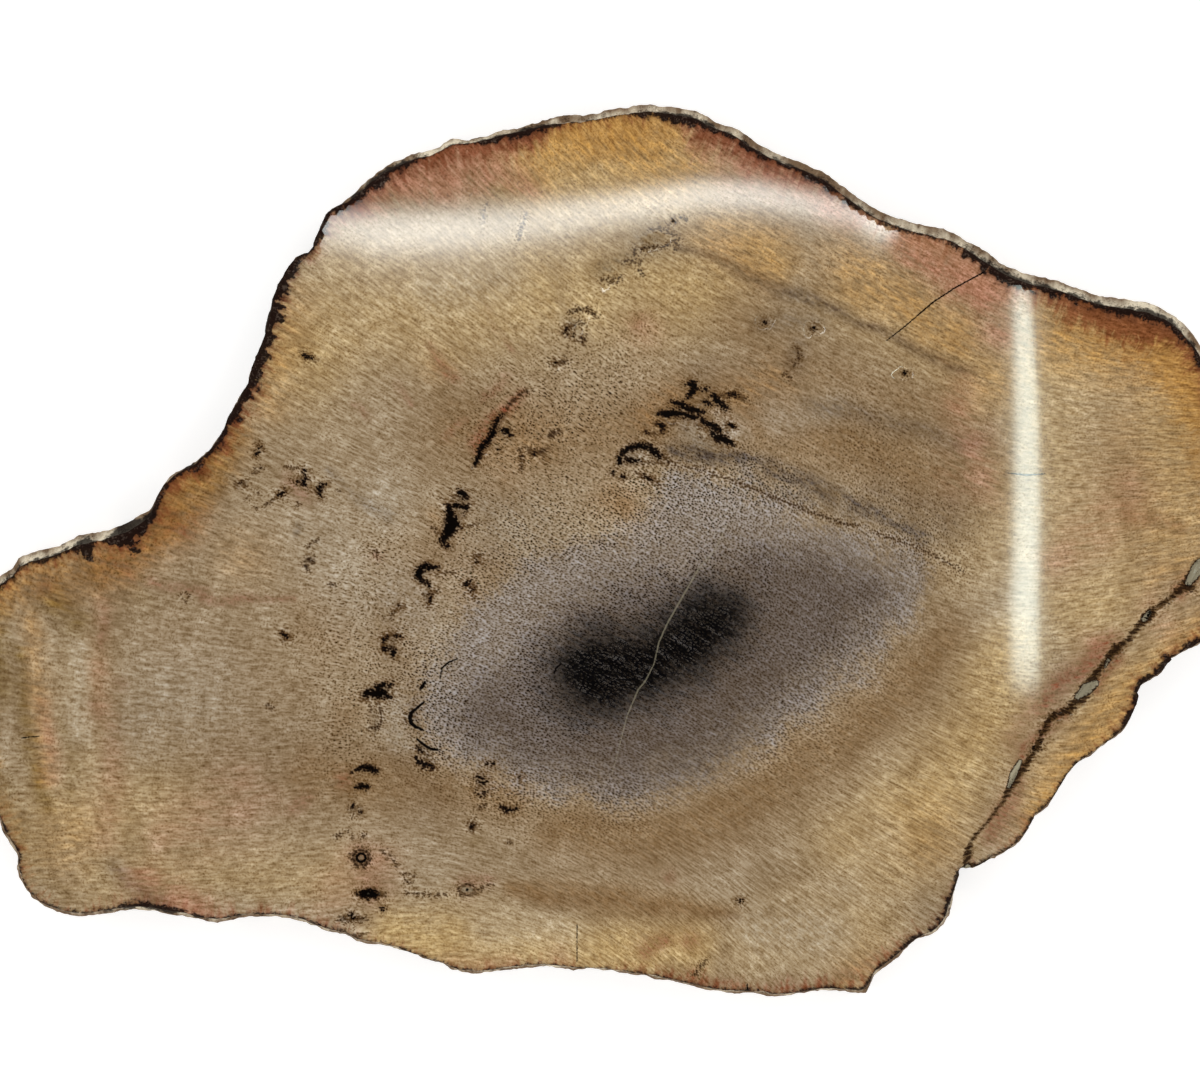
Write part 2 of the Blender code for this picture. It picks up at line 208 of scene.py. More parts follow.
# Dark open pockets in the face, each a row of places with the half width there
POCKETS = (
    ((459, 492, 3), (463, 494, 4), (466, 498, 2.6)),
    ((451, 506, 2), (458, 506, 2.5), (466, 508, 3), (469, 505, 1.6)),
    ((448, 507, 3.5), (450, 513, 4.5), (451, 520, 6), (451, 527, 6.5), (447, 534, 5), (443, 540, 3.5),
     (445, 545, 2.5), (450, 547, 1.6)), ((455, 523, 3), (459, 526, 3)), ((430, 596, 2), (430, 602, 1.4)),
    ((463, 515, 1.4),),
    ((438, 568, 2), (432, 567, 3), (425, 566, 3.5), (420, 570, 4), (418, 575, 4), (421, 580, 3),
     (427, 583, 2), (430, 587, 1.3)), ((477, 561, 2.4),), ((466, 584, 2.4), (470, 582, 2)),
    ((472, 590, 2.2),), ((399, 606, 1.6),),
    ((384, 649, 2.5), (391, 649, 2), (394, 652, 3.5), (393, 655, 3)), ((383, 641, 2), (388, 637, 2)),
    ((396, 636, 2.2), (400, 637, 1.4)),
    ((364, 695, 2.5), (369, 693, 4), (376, 693, 5), (383, 694, 4.5), (390, 697, 1.8)),
    ((378, 688, 4), (384, 684, 2.4)), ((388, 686, 2.5), (392, 683, 1.8)),
    ((352, 772, 1), (357, 770, 1.4), (362, 767, 3), (370, 769, 3.5), (377, 771, 2.6)),
    ((355, 788, 1.4), (361, 786, 3), (367, 787, 2.5)), ((352, 806, 2.5),), ((360, 812, 2),),
    ((418, 748, 1.8), (421, 751, 2.2)),
    ((416, 758, 1.5), (419, 762, 3), (426, 765, 3.4), (432, 768, 1.8)),
    ((486, 763, 0.8), (490, 764, 1.9), (494, 763, 0.9)), ((476, 777, 1.4), (482, 778, 2)),
    ((478, 782, 1.4), (484, 783, 2), (488, 781, 1.2)),
    ((476, 790, 1), (479, 795, 1.3), (484, 794, 1.5), (487, 791, 1.1)),
    ((501, 807, 2), (506, 810, 2.5), (512, 810, 2.2), (517, 808, 1.4)), ((472, 826, 2.8),),
    ((519, 777, 1.5),), ((360, 894, 3), (364, 894, 4.5), (370, 894, 5.2), (375, 895, 4.2)),
    ((383, 908, 1.8),), ((351, 915, 2.4), (354, 918, 2)),
    ((686, 384, 1.5), (692, 384, 4), (695, 388, 4), (690, 394, 3), (688, 398, 2)),
    ((700, 389, 1.6), (708, 390, 2)), ((713, 395, 3), (716, 400, 3.5), (722, 404, 3.5), (727, 409, 2.6)),
    ((705, 402, 2.5), (710, 404, 2)), ((729, 394, 2), (737, 395, 2)),
    ((672, 402, 2), (680, 404, 4), (688, 408, 3.5), (696, 411, 3), (703, 412, 2.4)),
    ((660, 413, 3), (667, 414, 4.5), (675, 413, 4), (682, 414, 3), (690, 416, 3.5), (697, 417, 2)),
    ((698, 414, 2), (702, 420, 2.5), (708, 424, 3), (714, 427, 4), (720, 430, 2.6)),
    ((712, 432, 2.6), (716, 437, 4), (722, 439, 5), (729, 442, 3.5), (734, 445, 1.4)),
    ((658, 424, 2), (664, 427, 2.6)), ((662, 432, 1.6),), ((647, 432, 1.8),),
    ((729, 424, 2), (734, 427, 1.8)),
    ((619, 462, 3), (619, 457, 2.5), (623, 452, 3), (630, 448, 3.5), (638, 446, 3.5), (648, 447, 3.5),
     (654, 451, 3.5), (659, 456, 3.4)), ((626, 459, 2.5), (634, 461, 2.5), (640, 461, 1.8)),
    ((613, 473, 2),), ((623, 477, 2),), ((644, 476, 1.6), (651, 480, 1.8)),
    ((502, 416, 1.8), (497, 420, 2.5), (494, 427, 2.5), (493, 433, 3.5), (488, 440, 3.5),
     (482, 446, 3.5), (480, 450, 3), (478, 458, 3), (475, 465, 2)),
    ((503, 429, 2.5), (507, 432, 3.5), (511, 435, 2)), ((498, 450, 1.4),), ((543, 459, 1.2),),
    ((522, 458, 1.4),), ((534, 453, 2),), ((260, 449, 2.2), (256, 454, 1.7)),
    ((303, 354, 1.4), (312, 359, 1.8)), ((241, 484, 2),),
    ((305, 470, 1.8), (306, 477, 2.3), (304, 484, 2.8), (308, 488, 1.2)), ((297, 482, 1.8),),
    ((326, 483, 1), (321, 485, 2), (319, 490, 2.8), (321, 497, 1.2)), ((284, 492, 2), (279, 495, 2)),
    ((283, 634, 2), (288, 637, 1.6)), ((567, 329, 1.8), (566, 333, 1.6)), ((573, 335, 1.6),),
    ((582, 340, 1.8),), ((555, 363, 1.4),), ((673, 221, 1.8),), ((765, 322, 1.8),), ((814, 328, 2.2),),
    ((905, 373, 2.2),), ((740, 901, 2.4),), ((1189, 587, 3.4), (1192, 589, 2)), ((1175, 590, 1.6),),
    ((1168, 600, 1.2), (1160, 605, 1)), ((1152, 612, 2.6), (1148, 618, 2)),
    ((1117, 648, 4), (1113, 654, 2.6)), ((1103, 666, 1.6), (1098, 672, 1.2)),
    ((1071, 706, 1.6), (1069, 710, 2.8)), ((1054, 716, 3.2), (1049, 718, 2.4)),
    ((1046, 726, 2), (1041, 734, 1.4)), ((1042, 742, 2), (1037, 746, 3.6), (1033, 752, 2)),
    ((1029, 758, 1.4), (1025, 765, 1)),
)
# Hairline cracks, and a fine dark ring in each knot
HAIRLINES = (
    ((984, 272, 0.8), (953, 289, 0.7), (932, 303, 0.8), (903, 328, 0.6), (886, 341, 0.4)),
    ((457, 659, 0.7), (449, 662, 0.9), (442, 668, 0.8), (440, 679, 0.5)),
    ((425, 682, 1.2), (422, 687, 1.8), (420, 689, 0.9)),
    ((424, 702, 1), (417, 708, 1.2), (411, 713, 1.8), (410, 718, 2), (411, 723, 1.8), (416, 727, 1.4),
     (423, 730, 1.1)), ((417, 739, 1), (424, 745, 1.4), (431, 749, 1.5), (438, 750, 1.1)),
    ((561, 664, 0.7), (556, 668, 0.8), (554, 674, 0.6)), ((577, 925, 0.5), (577, 962, 0.4)),
    ((22, 738, 0.6), (40, 736, 0.5)), ((748, 993, 1), (747, 984, 0.6)),
    ring_round(361, 858, 4.4, 4.2, 1.2), ((467, 890, 1.6),),
    ((1205, 560, 0.6), (1196, 572, 0.7), (1190, 583, 0.6)),
    ((1200, 560, 0.6), (1190, 574, 0.8), (1186, 583, 0.6)),
    ((1094, 681, 0.6), (1083, 687, 0.6), (1076, 696, 0.8)), ((1096, 688, 0.6), (1087, 693, 0.6)),
    ((1008, 473, 0.5), (1026, 475, 0.8), (1046, 474, 0.5)),
)
# Brown seams along the old growth rings, paler brown marks, and the brown rims of the knots
SEAMS = (
    ((675, 465, 0.6), (705, 471, 0.9), (728, 479, 1.1), (761, 492, 1.2), (791, 504, 1.3),
     (820, 515, 1.5), (845, 524, 1.5), (858, 525, 0.8)),
    ((872, 532, 0.9), (898, 540, 1.1), (930, 553, 0.9), (962, 571, 0.7)),
    ((486, 206, 0.9), (482, 223, 0.6)), ((526, 214, 0.8), (522, 226, 1), (519, 238, 0.8)),
    ((459, 492, 1.2), (452, 499, 2), (448, 506, 2)), ((436, 532, 2), (442, 534, 3)),
    ((462, 527, 1.6), (471, 525, 1.4), (478, 524, 1)), ((431, 527, 1.2), (438, 530, 1.2)),
    ((438, 590, 1.5), (433, 593, 2.4), (429, 599, 2.4), (428, 607, 1.4)), ((423, 594, 1.8),),
    ((436, 575, 1), (445, 572, 1.2), (455, 572, 0.9)), ((476, 557, 3.4), (480, 555, 2.4)),
    ((477, 562, 2.6), (483, 563, 1.3)), ((466, 584, 3), (475, 587, 3.2), (473, 598, 1.1)),
    ((405, 606, 1.3), (399, 606, 2), (397, 610, 2), (392, 614, 2), (391, 618, 1.4)),
    ((382, 638, 2.4), (388, 636, 3), (395, 635, 3), (400, 637, 2.4)), ((383, 645, 2.6), (384, 650, 2.6)),
    ((362, 699, 2), (368, 699, 1.4)),
    ((378, 703, 1.6), (381, 712, 1.6), (382, 720, 1.6), (378, 727, 2), (370, 729, 1.8)),
    ((372, 703, 0.9), (371, 712, 0.8)), ((407, 715, 1.6), (405, 722, 1.7)), ((352, 817, 1.3),),
    ((354, 838, 1.8),), ((363, 836, 2.3),), ((426, 754, 1.3), (431, 756, 1)),
    ((426, 765, 4), (433, 768, 2.8), (438, 769, 1)), ((382, 850, 1.2), (388, 858, 1.2)),
    ((480, 807, 2.2), (486, 805, 1.8)), ((471, 822, 1.6), (476, 826, 1.6), (472, 831, 1.6)),
    ((510, 842, 1.9),), ((357, 894, 2.2), (364, 894, 4.8)), ((376, 895, 4.8), (384, 895, 2.8)),
    ((341, 919, 3), (349, 920, 3.4), (358, 919, 3.3), (366, 918, 1.8)),
    ((352, 936, 1), (360, 936, 1.2), (367, 932, 1.2)), ring_round(361, 858, 8.2, 8.2, 2.8),
    ((716, 395, 2), (724, 396, 3), (732, 393, 3.4), (740, 397, 3), (747, 399, 1.4)),
    ((696, 425, 1.4), (702, 427, 2), (708, 428, 1.7)),
    ((655, 423, 2.6), (661, 425, 3.5), (666, 428, 3), (662, 432, 2.6)),
    ((670, 425, 1.9), (676, 424, 1.2)), ((645, 432, 2.2), (650, 433, 2.6), (658, 434, 1.5)),
    ((723, 423, 1.2), (728, 424, 2.4), (734, 427, 2.4)), ((727, 432, 1),), ((716, 414, 1.5),),
    ((700, 437, 1.4), (702, 439, 1)), ((686, 430, 1),), ((664, 457, 3), (671, 463, 2)),
    ((642, 462, 1.6), (650, 463, 1.3), (664, 463, 1.3)),
    ((636, 473, 1.4), (644, 476, 2.4), (651, 479, 2.4), (658, 483, 2), (663, 487, 1.2)),
    ((623, 477, 2.4), (630, 478, 1.1)),
    ((531, 391, 1.4), (525, 392, 2.4), (517, 396, 2.4), (512, 402, 2), (507, 410, 1.4)),
    ((520, 450, 1.9), (521, 457, 1.9), (522, 465, 2.3), (521, 470, 1.3)),
    ((527, 449, 2.4), (534, 453, 3.8), (541, 452, 3.4), (547, 449, 1.9)),
    ((549, 436, 1.9), (555, 434, 3.3), (560, 430, 1.9)),
    ((571, 312, 1.9), (578, 310, 2.4), (586, 309, 1.9), (594, 314, 1.9), (598, 316, 1.4)),
    ((574, 324, 1.9), (568, 328, 2.9), (566, 332, 2.9), (569, 335, 1.4)),
    ((580, 322, 1.1), (585, 325, 1.1)), ((578, 339, 1.5), (582, 340, 2.3)),
    ((551, 364, 1.9), (558, 363, 2.4), (566, 361, 1.9)), ((565, 357, 1.2),),
    ((634, 254, 1.8), (635, 250, 1.4), (642, 248, 1.8), (650, 248, 1.6), (660, 247, 1.4),
     (668, 245, 1.7), (674, 241, 1.4), (679, 238, 1)),
    ((651, 229, 0.7), (658, 228, 0.7), (665, 230, 0.7), (672, 234, 0.8), (679, 239, 0.9)),
    ((676, 245, 1.1), (675, 250, 0.7)), ((625, 262, 1.6), (631, 261, 1.3), (640, 263, 1.1)),
    ((640, 270, 1.4), (643, 275, 1.3)), ((602, 280, 1.1), (612, 279, 1.1), (621, 277, 0.9)),
    ((610, 283, 1), (619, 281, 0.9)), ((668, 226, 1.3),), ((680, 217, 1.1), (686, 219, 1.1)),
    ((259, 443, 1), (260, 449, 2.2)), ((253, 473, 1.2), (256, 470, 1.9), (261, 468, 1.8)),
    ((236, 483, 1.8), (243, 483, 2.8), (246, 487, 1.4)), ((285, 467, 0.7), (300, 468, 0.9)),
    ((297, 481, 2), (292, 480, 1)), ((315, 491, 1.3), (319, 489, 2)),
    ((285, 492, 2.5), (279, 495, 2.4), (272, 500, 1.4), (265, 506, 1.1)), ((257, 493, 1.8),),
    ((247, 498, 1.2),), ((339, 491, 1.4),), ((298, 504, 1.7),), ((256, 508, 1.2),),
    ((307, 560, 3.4), (311, 558, 2.8), (313, 562, 2.2)), ((306, 566, 2.8), (308, 570, 1.3)),
    ((308, 547, 1.1), (312, 543, 0.9), (318, 540, 0.7)), ((375, 552, 2.4), (379, 557, 1.4)),
    ((330, 584, 1.4), (335, 586, 1.4)), ((283, 633, 2.6), (290, 637, 1.8), (284, 641, 1.6)),
    ((268, 705, 1.8), (272, 709, 1.4)), ((796, 348, 1.4), (800, 356, 1.8), (794, 366, 1.4)),
    ((784, 373, 1.4), (790, 379, 1.1)), ring_round(186, 597, 4.4, 4.0, 0.4),
    ring_round(467, 890, 8.2, 5.6, 1.4), ((478, 890, 2), (484, 887, 1.4), (492, 884, 0.7)),
    ((407, 893, 0.8), (424, 894, 0.9), (446, 895, 0.7)), ((337, 836, 2), (341, 833, 1.2)),
    ((349, 831, 1.4),), ((388, 852, 0.9), (397, 866, 1)), ((402, 874, 0.8), (414, 875, 0.5)),
    ((406, 881, 1.2), (412, 883, 0.9)), ((695, 975, 1.8), (700, 968, 1.6), (706, 960, 0.7)),
)
# Healed hairlines and knot middles of pale quartz
PALE_VEIN = (
    ((727, 525, 0.4), (715, 550, 0.7), (699, 568, 0.8), (684, 594, 0.8), (667, 624, 0.8),
     (659, 642, 0.7), (654, 664, 0.5), (646, 680, 0.7), (638, 690, 0.7), (627, 716, 0.6),
     (612, 775, 0.3)), ((361, 858, 1.8),), ((368, 894, 0.9),), ((379, 894, 0.8),),
    ((464, 890, 2.6), (470, 890, 2.6)),
)
# The split that crosses the right side, and the lens-shaped quartz fillings in it
SPLIT = (
    ((1252, 525, 5.5), (1233, 540, 4), (1216, 554, 5), (1200, 565, 8), (1188, 584, 7),
     (1171, 598, 2.5), (1155, 609, 2.5), (1147, 617, 6), (1137, 629, 3.5), (1128, 640, 3),
     (1116, 650, 5.5), (1101, 667, 3), (1087, 689, 8.5), (1071, 708, 4.5), (1052, 717, 4.5),
     (1042, 734, 2.5), (1035, 752, 2.5), (1023, 769, 4.5), (1012, 786, 5), (1003, 802, 2.5),
     (988, 822, 2), (972, 840, 2.5), (968, 855, 4.5), (966, 876, 6)),
)
LENSES = (
    ((1207, 558, 5), (1198, 569, 6.5), (1189, 583, 3.5)), ((1150, 612, 2.4), (1145, 619, 3.2)),
    ((1096, 683, 3), (1087, 689, 6), (1078, 697, 3)), ((1020, 762, 2.4), (1014, 774, 4), (1009, 787, 2)),
    ((1109, 660, 1.6), (1105, 667, 1.2)), ((968, 868, 4), (965, 880, 6)),
)


def hex_grid(spacing):
    """Points in a triangular pattern over the stone's box, in mm."""
    reach = np.abs(rim).max(axis=0) + spacing
    rows = np.arange(-reach[1], reach[1], spacing * math.sqrt(3) / 2)
    columns = np.arange(-reach[0], reach[0], spacing)
    return np.array([(x + spacing / 2 * (row % 2), y) for row, y in enumerate(rows) for x in columns])


def rim_distance(points, edge):
    """How far inside an edge each point lies, in mm, and how far round the edge it is nearest to."""
    tree = kdtree.KDTree(len(edge))
    for index, place in enumerate(edge):
        tree.insert((*place, 0.0), index)
    tree.balance()
    nearest = np.array([tree.find((x, y, 0.0))[1] for x, y in points])
    chord = edge[(nearest + 1) % len(edge)] - edge[nearest - 1]
    there = points - edge[nearest]
    left = chord[:, 0] * there[:, 1] - chord[:, 1] * there[:, 0]
    best = np.linalg.norm(there, axis=1)
    around = nearest.astype(float)
    for side in (-1, 0):
        start = edge[(nearest + side) % len(edge)]
        along = edge[(nearest + side + 1) % len(edge)] - start
        there = points - start
        share = np.clip((there * along).sum(1) / (along * along).sum(1), 0, 1)
        away = np.linalg.norm(there - share[:, None] * along, axis=1)
        closer = away < best - 1e-9
        best[closer] = away[closer]
        left[closer] = (along[:, 0] * there[:, 1] - along[:, 1] * there[:, 0])[closer]
        around[closer] = ((nearest + side + share) % len(edge))[closer]
    return np.where(left < 0, -best, best), around * RIM_LENGTH / len(edge)


def filled(edge, points, lift):
    """A flat sheet of triangles inside an edge, through the given points: its vertices and faces."""
    places = [Vector(place) for place in np.vstack((edge, points))]
    made = geometry.delaunay_2d_cdt(places, [], [list(range(len(edge)))], 1, 1e-5, False)
    corners = np.array([place.xy for place in made[0]])
    triangles = np.array(made[2])
    triangles = triangles[rim_distance(corners[triangles].mean(axis=1), edge)[0] > 0]
    return np.column_stack((corners, np.full(len(corners), lift))), triangles


coarse = hex_grid(FACE_SPACING)
fine = hex_grid(FINE_SPACING)
marked = POCKETS + HAIRLINES + SEAMS + PALE_VEIN + SPLIT
fine = fine[gap(fine, marked) < FINE_BORDER]
coarse = coarse[gap(coarse, marked) >= COARSE_BORDER]
thin = []
for stroke in HAIRLINES + SEAMS + PALE_VEIN:
    path = drawn(*stroke)[:, :2]
    for start, end in zip(path, path[1:]):
        stops = max(2, round(np.linalg.norm(end - start) / FINE_SPACING))
        thin += [start + (end - start) * stop / stops for stop in range(stops)]
thin = np.array(thin)
face_points = np.vstack((thin, fine, coarse))
face_points = face_points[rim_distance(face_points, arris)[0] > FACE_BORDER]
face, face_triangles = filled(arris, face_points, THICKNESS)
for index, (x, y, z) in enumerate(face):
    hit = surface.ray_cast(Vector((x, y, THICKNESS + DROP)) * MM, Vector((0, 0, -1)))
    if hit[0] is not None:
        face[index, 2] = hit[0].z / MM

back_edge = wall[0]
back_points = hex_grid(BACK_SPACING)
back_points = back_points[rim_distance(back_points, back_edge)[0] > BACK_BORDER]
back, back_triangles = filled(back_edge, back_points, 0.0)

lowered = np.minimum(face[:RIM_COLUMNS, 2] / THICKNESS, 1)
vertices = [np.column_stack((ring, level * lowered ** (level / THICKNESS)))
            for ring, level in zip(wall, WALL_LEVELS)]
faces = []
for level in range(len(WALL_LEVELS) - 1):
    for column in range(RIM_COLUMNS):
        following = (column + 1) % RIM_COLUMNS
        low, high = level * RIM_COLUMNS, (level + 1) * RIM_COLUMNS
        faces.append((low + column, low + following, high + following, high + column))
upper = (len(WALL_LEVELS) - 1) * RIM_COLUMNS
face_start = len(WALL_LEVELS) * RIM_COLUMNS
back_start = face_start + len(face)
for column in range(RIM_COLUMNS):
    following = (column + 1) % RIM_COLUMNS
    faces.append((upper + column, upper + following, face_start + following, face_start + column))
faces += [tuple(face_start + corner for corner in triangle) for triangle in face_triangles]
faces += [tuple(back_start + corner for corner in reversed(triangle)) for triangle in back_triangles]
vertices = np.vstack(vertices + [face, back])

stone_mesh = bpy.data.meshes.new("stone")
stone_mesh.from_pydata(vertices * MM, [], faces)
wall_skin = stone_mesh.attributes.new("wall", "FLOAT", "POINT")
wall_skin.data.foreach_set("value", np.arange(len(vertices)) < face_start)
stone = bpy.data.objects.new("stone", stone_mesh)
bpy.context.collection.objects.link(stone)
welder = bmesh.new()
welder.from_mesh(stone_mesh)
bmesh.ops.remove_doubles(welder, verts=welder.verts, dist=SKIN_WELD)
welder.to_mesh(stone_mesh)
welder.free()
stone_mesh.shade_smooth()

# The pattern of the wood: where its growth zones, stains and marks lie, kept on the mesh in mm.
# How the grain leans, in degrees up to the left, at places in mm. A script plotted the direction of the
# photo's brightness gradients in 40-pixel squares, and 39 of those directions were noted from the plot.
GRAIN = (
    (-112.6, -9.8, 14), (-104.6, -29.8, 3), (-108.6, -61.8, -15), (-88.6, -1.8, 14), (-80.6, -25.8, -5),
    (-72.6, -57.8, -22), (-60.6, 14.2, 28), (-60.6, -9.8, 30), (-60.6, -41.8, -28), (-60.6, 38.2, 45),
    (-48.6, 62.2, 48), (-32.6, 46.2, 50), (-40.6, 22.2, 44), (-12.6, 76.2, 62), (-12.6, 46.2, 53),
    (-24.6, -9.8, 47), (-8.6, 22.2, 41), (-0.6, 58.2, 40), (7.4, -9.8, 48), (27.4, 60.2, 34),
    (51.4, 50.2, 36), (31.4, 18.2, 18), (51.4, 30.2, 30), (47.4, -1.8, 40), (75.4, 44.2, 38),
    (99.4, 42.2, 24), (107.4, 20.2, 3), (71.4, 10.2, 14), (103.4, -5.8, -27), (73.4, -17.8, -9),
    (97.4, -23.8, -30), (55.4, -41.8, 38), (23.4, -37.8, 46), (-32.6, -37.8, 20), (-36.6, -69.8, -38),
    (-12.6, -65.8, 3), (7.4, -57.8, 36), (31.4, -69.8, 44), (59.4, -61.8, 42),
)
GRAIN_STEP = 2.0
GRAIN_REACH = 14.0
GRID_RIGHT = 134
GRID_UP = 94


def evened(places, values, points, reach):
    """Values known at a few places, spread smoothly to every point."""
    away = ((points[:, None, :] - places[None, :, :]) ** 2).sum(2)
    weight = np.exp(-away / (2 * reach ** 2)) + 1e-5 * np.exp(-away / (8 * reach ** 2)) + 1e-12
    return (weight @ values) / weight.sum(1)


def waves(count):
    """Even cosine waves over a row of points, from none to the finest."""
    made = np.cos(np.pi * np.outer(np.arange(count), np.arange(count) + 0.5) / count) * math.sqrt(2 / count)
    made[0] /= math.sqrt(2)
    return made


def surface_of(slope_x, slope_y, step):
    """The surface on an even grid whose slopes come closest to the given ones."""
    rows, columns = slope_x.shape
    rise = np.zeros((rows, columns))
    east = (slope_x[:, 1:] + slope_x[:, :-1]) / 2 * step
    north = (slope_y[1:] + slope_y[:-1]) / 2 * step
    rise[:, 1:] += east
    rise[:, :-1] -= east
    rise[1:] += north
    rise[:-1] -= north
    bends = (2 - 2 * np.cos(np.pi * np.arange(rows) / rows))[:, None]
    bends = bends + (2 - 2 * np.cos(np.pi * np.arange(columns) / columns))[None, :]
    bends[0, 0] = np.inf
    tall, long = waves(rows), waves(columns)
    return tall.T @ (tall @ rise @ long.T / bends) @ long


def looked_up(grid, xs, ys, points):
    """Values of an even grid at any points, straight between its own."""
    column = np.clip((points[:, 0] - xs[0]) / GRAIN_STEP, 0, len(xs) - 1.001)
    row = np.clip((points[:, 1] - ys[0]) / GRAIN_STEP, 0, len(ys) - 1.001)
    left, low = column.astype(int), row.astype(int)
    column, row = column - left, row - low
    under = grid[low, left] * (1 - column) + grid[low, left + 1] * column
    over = grid[low + 1, left] * (1 - column) + grid[low + 1, left + 1] * column
    return under * (1 - row) + over * row


count = len(stone_mesh.vertices)
places = np.empty(count * 3, np.float32)
stone_mesh.vertices.foreach_get("co", places)
places = places.reshape(-1, 3).astype(float) / MM
flat = places[:, :2]
wall_skin = np.empty(count, np.float32)
stone_mesh.attributes["wall"].data.foreach_get("value", wall_skin)
upright = np.empty(count * 3, np.float32)
stone_mesh.vertex_normals.foreach_get("vector", upright)
upright = upright[2::3]

grid_x = np.arange(-GRID_RIGHT, GRID_RIGHT + 0.1, GRAIN_STEP)
grid_y = np.arange(-GRID_UP, GRID_UP + 0.1, GRAIN_STEP)
grid_points = np.array([(x, y) for y in grid_y for x in grid_x])
samples = np.array(GRAIN)
lean = np.radians(evened(samples[:, :2], samples[:, 2], grid_points, GRAIN_REACH))
lean = lean.reshape(len(grid_y), len(grid_x))
grain_along = looked_up(surface_of(np.cos(lean), -np.sin(lean), GRAIN_STEP), grid_x, grid_y, flat)
grain_across = looked_up(surface_of(np.sin(lean), np.cos(lean), GRAIN_STEP), grid_x, grid_y, flat)


def kept(name, *values):
    """Three values at every vertex, kept on the mesh under a name for the material to read."""
    layer = stone_mesh.attributes.new(name, "FLOAT_VECTOR", "POINT")
    layer.data.foreach_set("vector", np.column_stack(values).astype(np.float32).ravel())


def clouds(points, wave, start):
    """Soft noise at each point, from about -1 to 1, with billows a wave apart."""
    return np.array([noise.noise(Vector((x / wave, y / wave, start))) for x, y in points])


def rounded(corners):
    """A closed outline with its corners cut twice."""
    corners = drawn(*corners)
    for _ in range(2):
        following = np.roll(corners, -1, 0)
        cut = np.stack((corners * 0.75 + following * 0.25, corners * 0.25 + following * 0.75), axis=1)
        corners = cut.reshape(-1, 2)
    return corners


def depth_in(points, corners):
    """How deep inside a rounded outline each point lies, in mm; negative outside."""
    outline = rounded(corners)
    nearest = np.full(len(points), np.inf)
    inside = np.zeros(len(points), bool)
    for start, end in zip(outline, np.roll(outline, -1, 0)):
        along = end - start
        there = points - start
        share = np.clip(there @ along / (along @ along), 0, 1)
        nearest = np.minimum(nearest, np.linalg.norm(there - share[:, None] * along, axis=1))
        crosses = (start[1] > points[:, 1]) != (end[1] > points[:, 1])
        at = start[0] + (points[:, 1] - start[1]) / (along[1] if along[1] else 1e-9) * along[0]
        inside ^= crosses & (points[:, 0] < at)
    return np.where(inside, nearest, -nearest)


CORE_OUTLINE = (
    (562, 698), (554, 664), (578, 636), (616, 630), (652, 630), (680, 608), (708, 593), (738, 596),
    (747, 614), (734, 642), (708, 666), (676, 684), (642, 702), (600, 710), (576, 708),
)
HEART_OUTLINE = (
    (440, 720), (452, 696), (484, 672), (518, 648), (544, 618), (574, 592), (612, 576), (660, 566),
    (700, 554), (730, 542), (766, 538), (826, 550), (874, 566), (896, 582), (882, 620), (842, 662),
    (790, 702), (740, 736), (690, 770), (638, 788), (578, 784), (520, 766), (476, 748),
)
RING_OUTLINE = (
    (406, 712), (420, 680), (440, 644), (470, 602), (514, 560), (556, 540), (590, 532), (618, 534),
    (642, 514), (656, 486), (668, 464), (706, 470), (762, 491), (822, 515), (890, 538), (936, 562),
    (938, 582), (904, 632), (860, 678), (808, 718), (760, 750), (710, 780), (660, 798), (598, 802),
    (526, 788), (462, 768), (424, 748),
)
kept("zone", depth_in(flat, CORE_OUTLINE), depth_in(flat, HEART_OUTLINE), depth_in(flat, RING_OUTLINE))

DRIFT = 1.6
DRIFT_WAVE = 7.0
WASH_FADE = 2.3
drifted = flat + DRIFT * np.column_stack((clouds(flat, DRIFT_WAVE, 1.5), clouds(flat, DRIFT_WAVE, 8.5)))


def wash(strokes):
    """How strongly soft strokes colour each vertex; each has its strength, then its places with reach."""
    total = np.zeros(count)
    for strength, stroke in strokes:
        widest = max(place[2] for place in stroke) / PER_MM
        for near, away, wide in beside(drifted, stroke, WASH_FADE * widest):
            total[near] = np.maximum(total[near], strength * np.exp(-(away / wide) ** 2))
    return total


# Broad tones: the honey-coloured outer wood, the browner wood within, and grey-brown dusk beside it
HONEY_STROKES = (
    (0.9, ((300, 340, 60), (350, 300, 60), (430, 300, 60), (520, 290, 60))),
    (0.8, ((600, 290, 60), (700, 290, 50))), (0.6, ((720, 236, 26), (780, 262, 24))),
    (0.5, ((860, 300, 46), (930, 340, 46), (985, 380, 40))), (0.9, ((560, 160, 70), (640, 160, 70))),
    (0.85, ((1070, 370, 60), (1080, 480, 60), (1090, 590, 60))),
    (0.6, ((1170, 420, 60), (1170, 520, 60))),
    (0.85, ((870, 850, 56), (930, 800, 56), (985, 720, 46), (1010, 640, 40))),
    (1.0, ((390, 940, 30), (500, 945, 34), (620, 950, 34), (690, 948, 34))),
    (0.6, ((750, 942, 34), (850, 920, 56))), (0.42, ((110, 870, 50), (230, 880, 44), (320, 880, 40))),
    (0.5, ((150, 800, 60), (60, 820, 50))), (0.75, ((1180, 650, 34), (1110, 720, 34), (1050, 800, 34))),
    (0.35, ((84, 660, 30), (84, 780, 30))), (0.45, ((1000, 560, 60), (1010, 480, 40))),
)
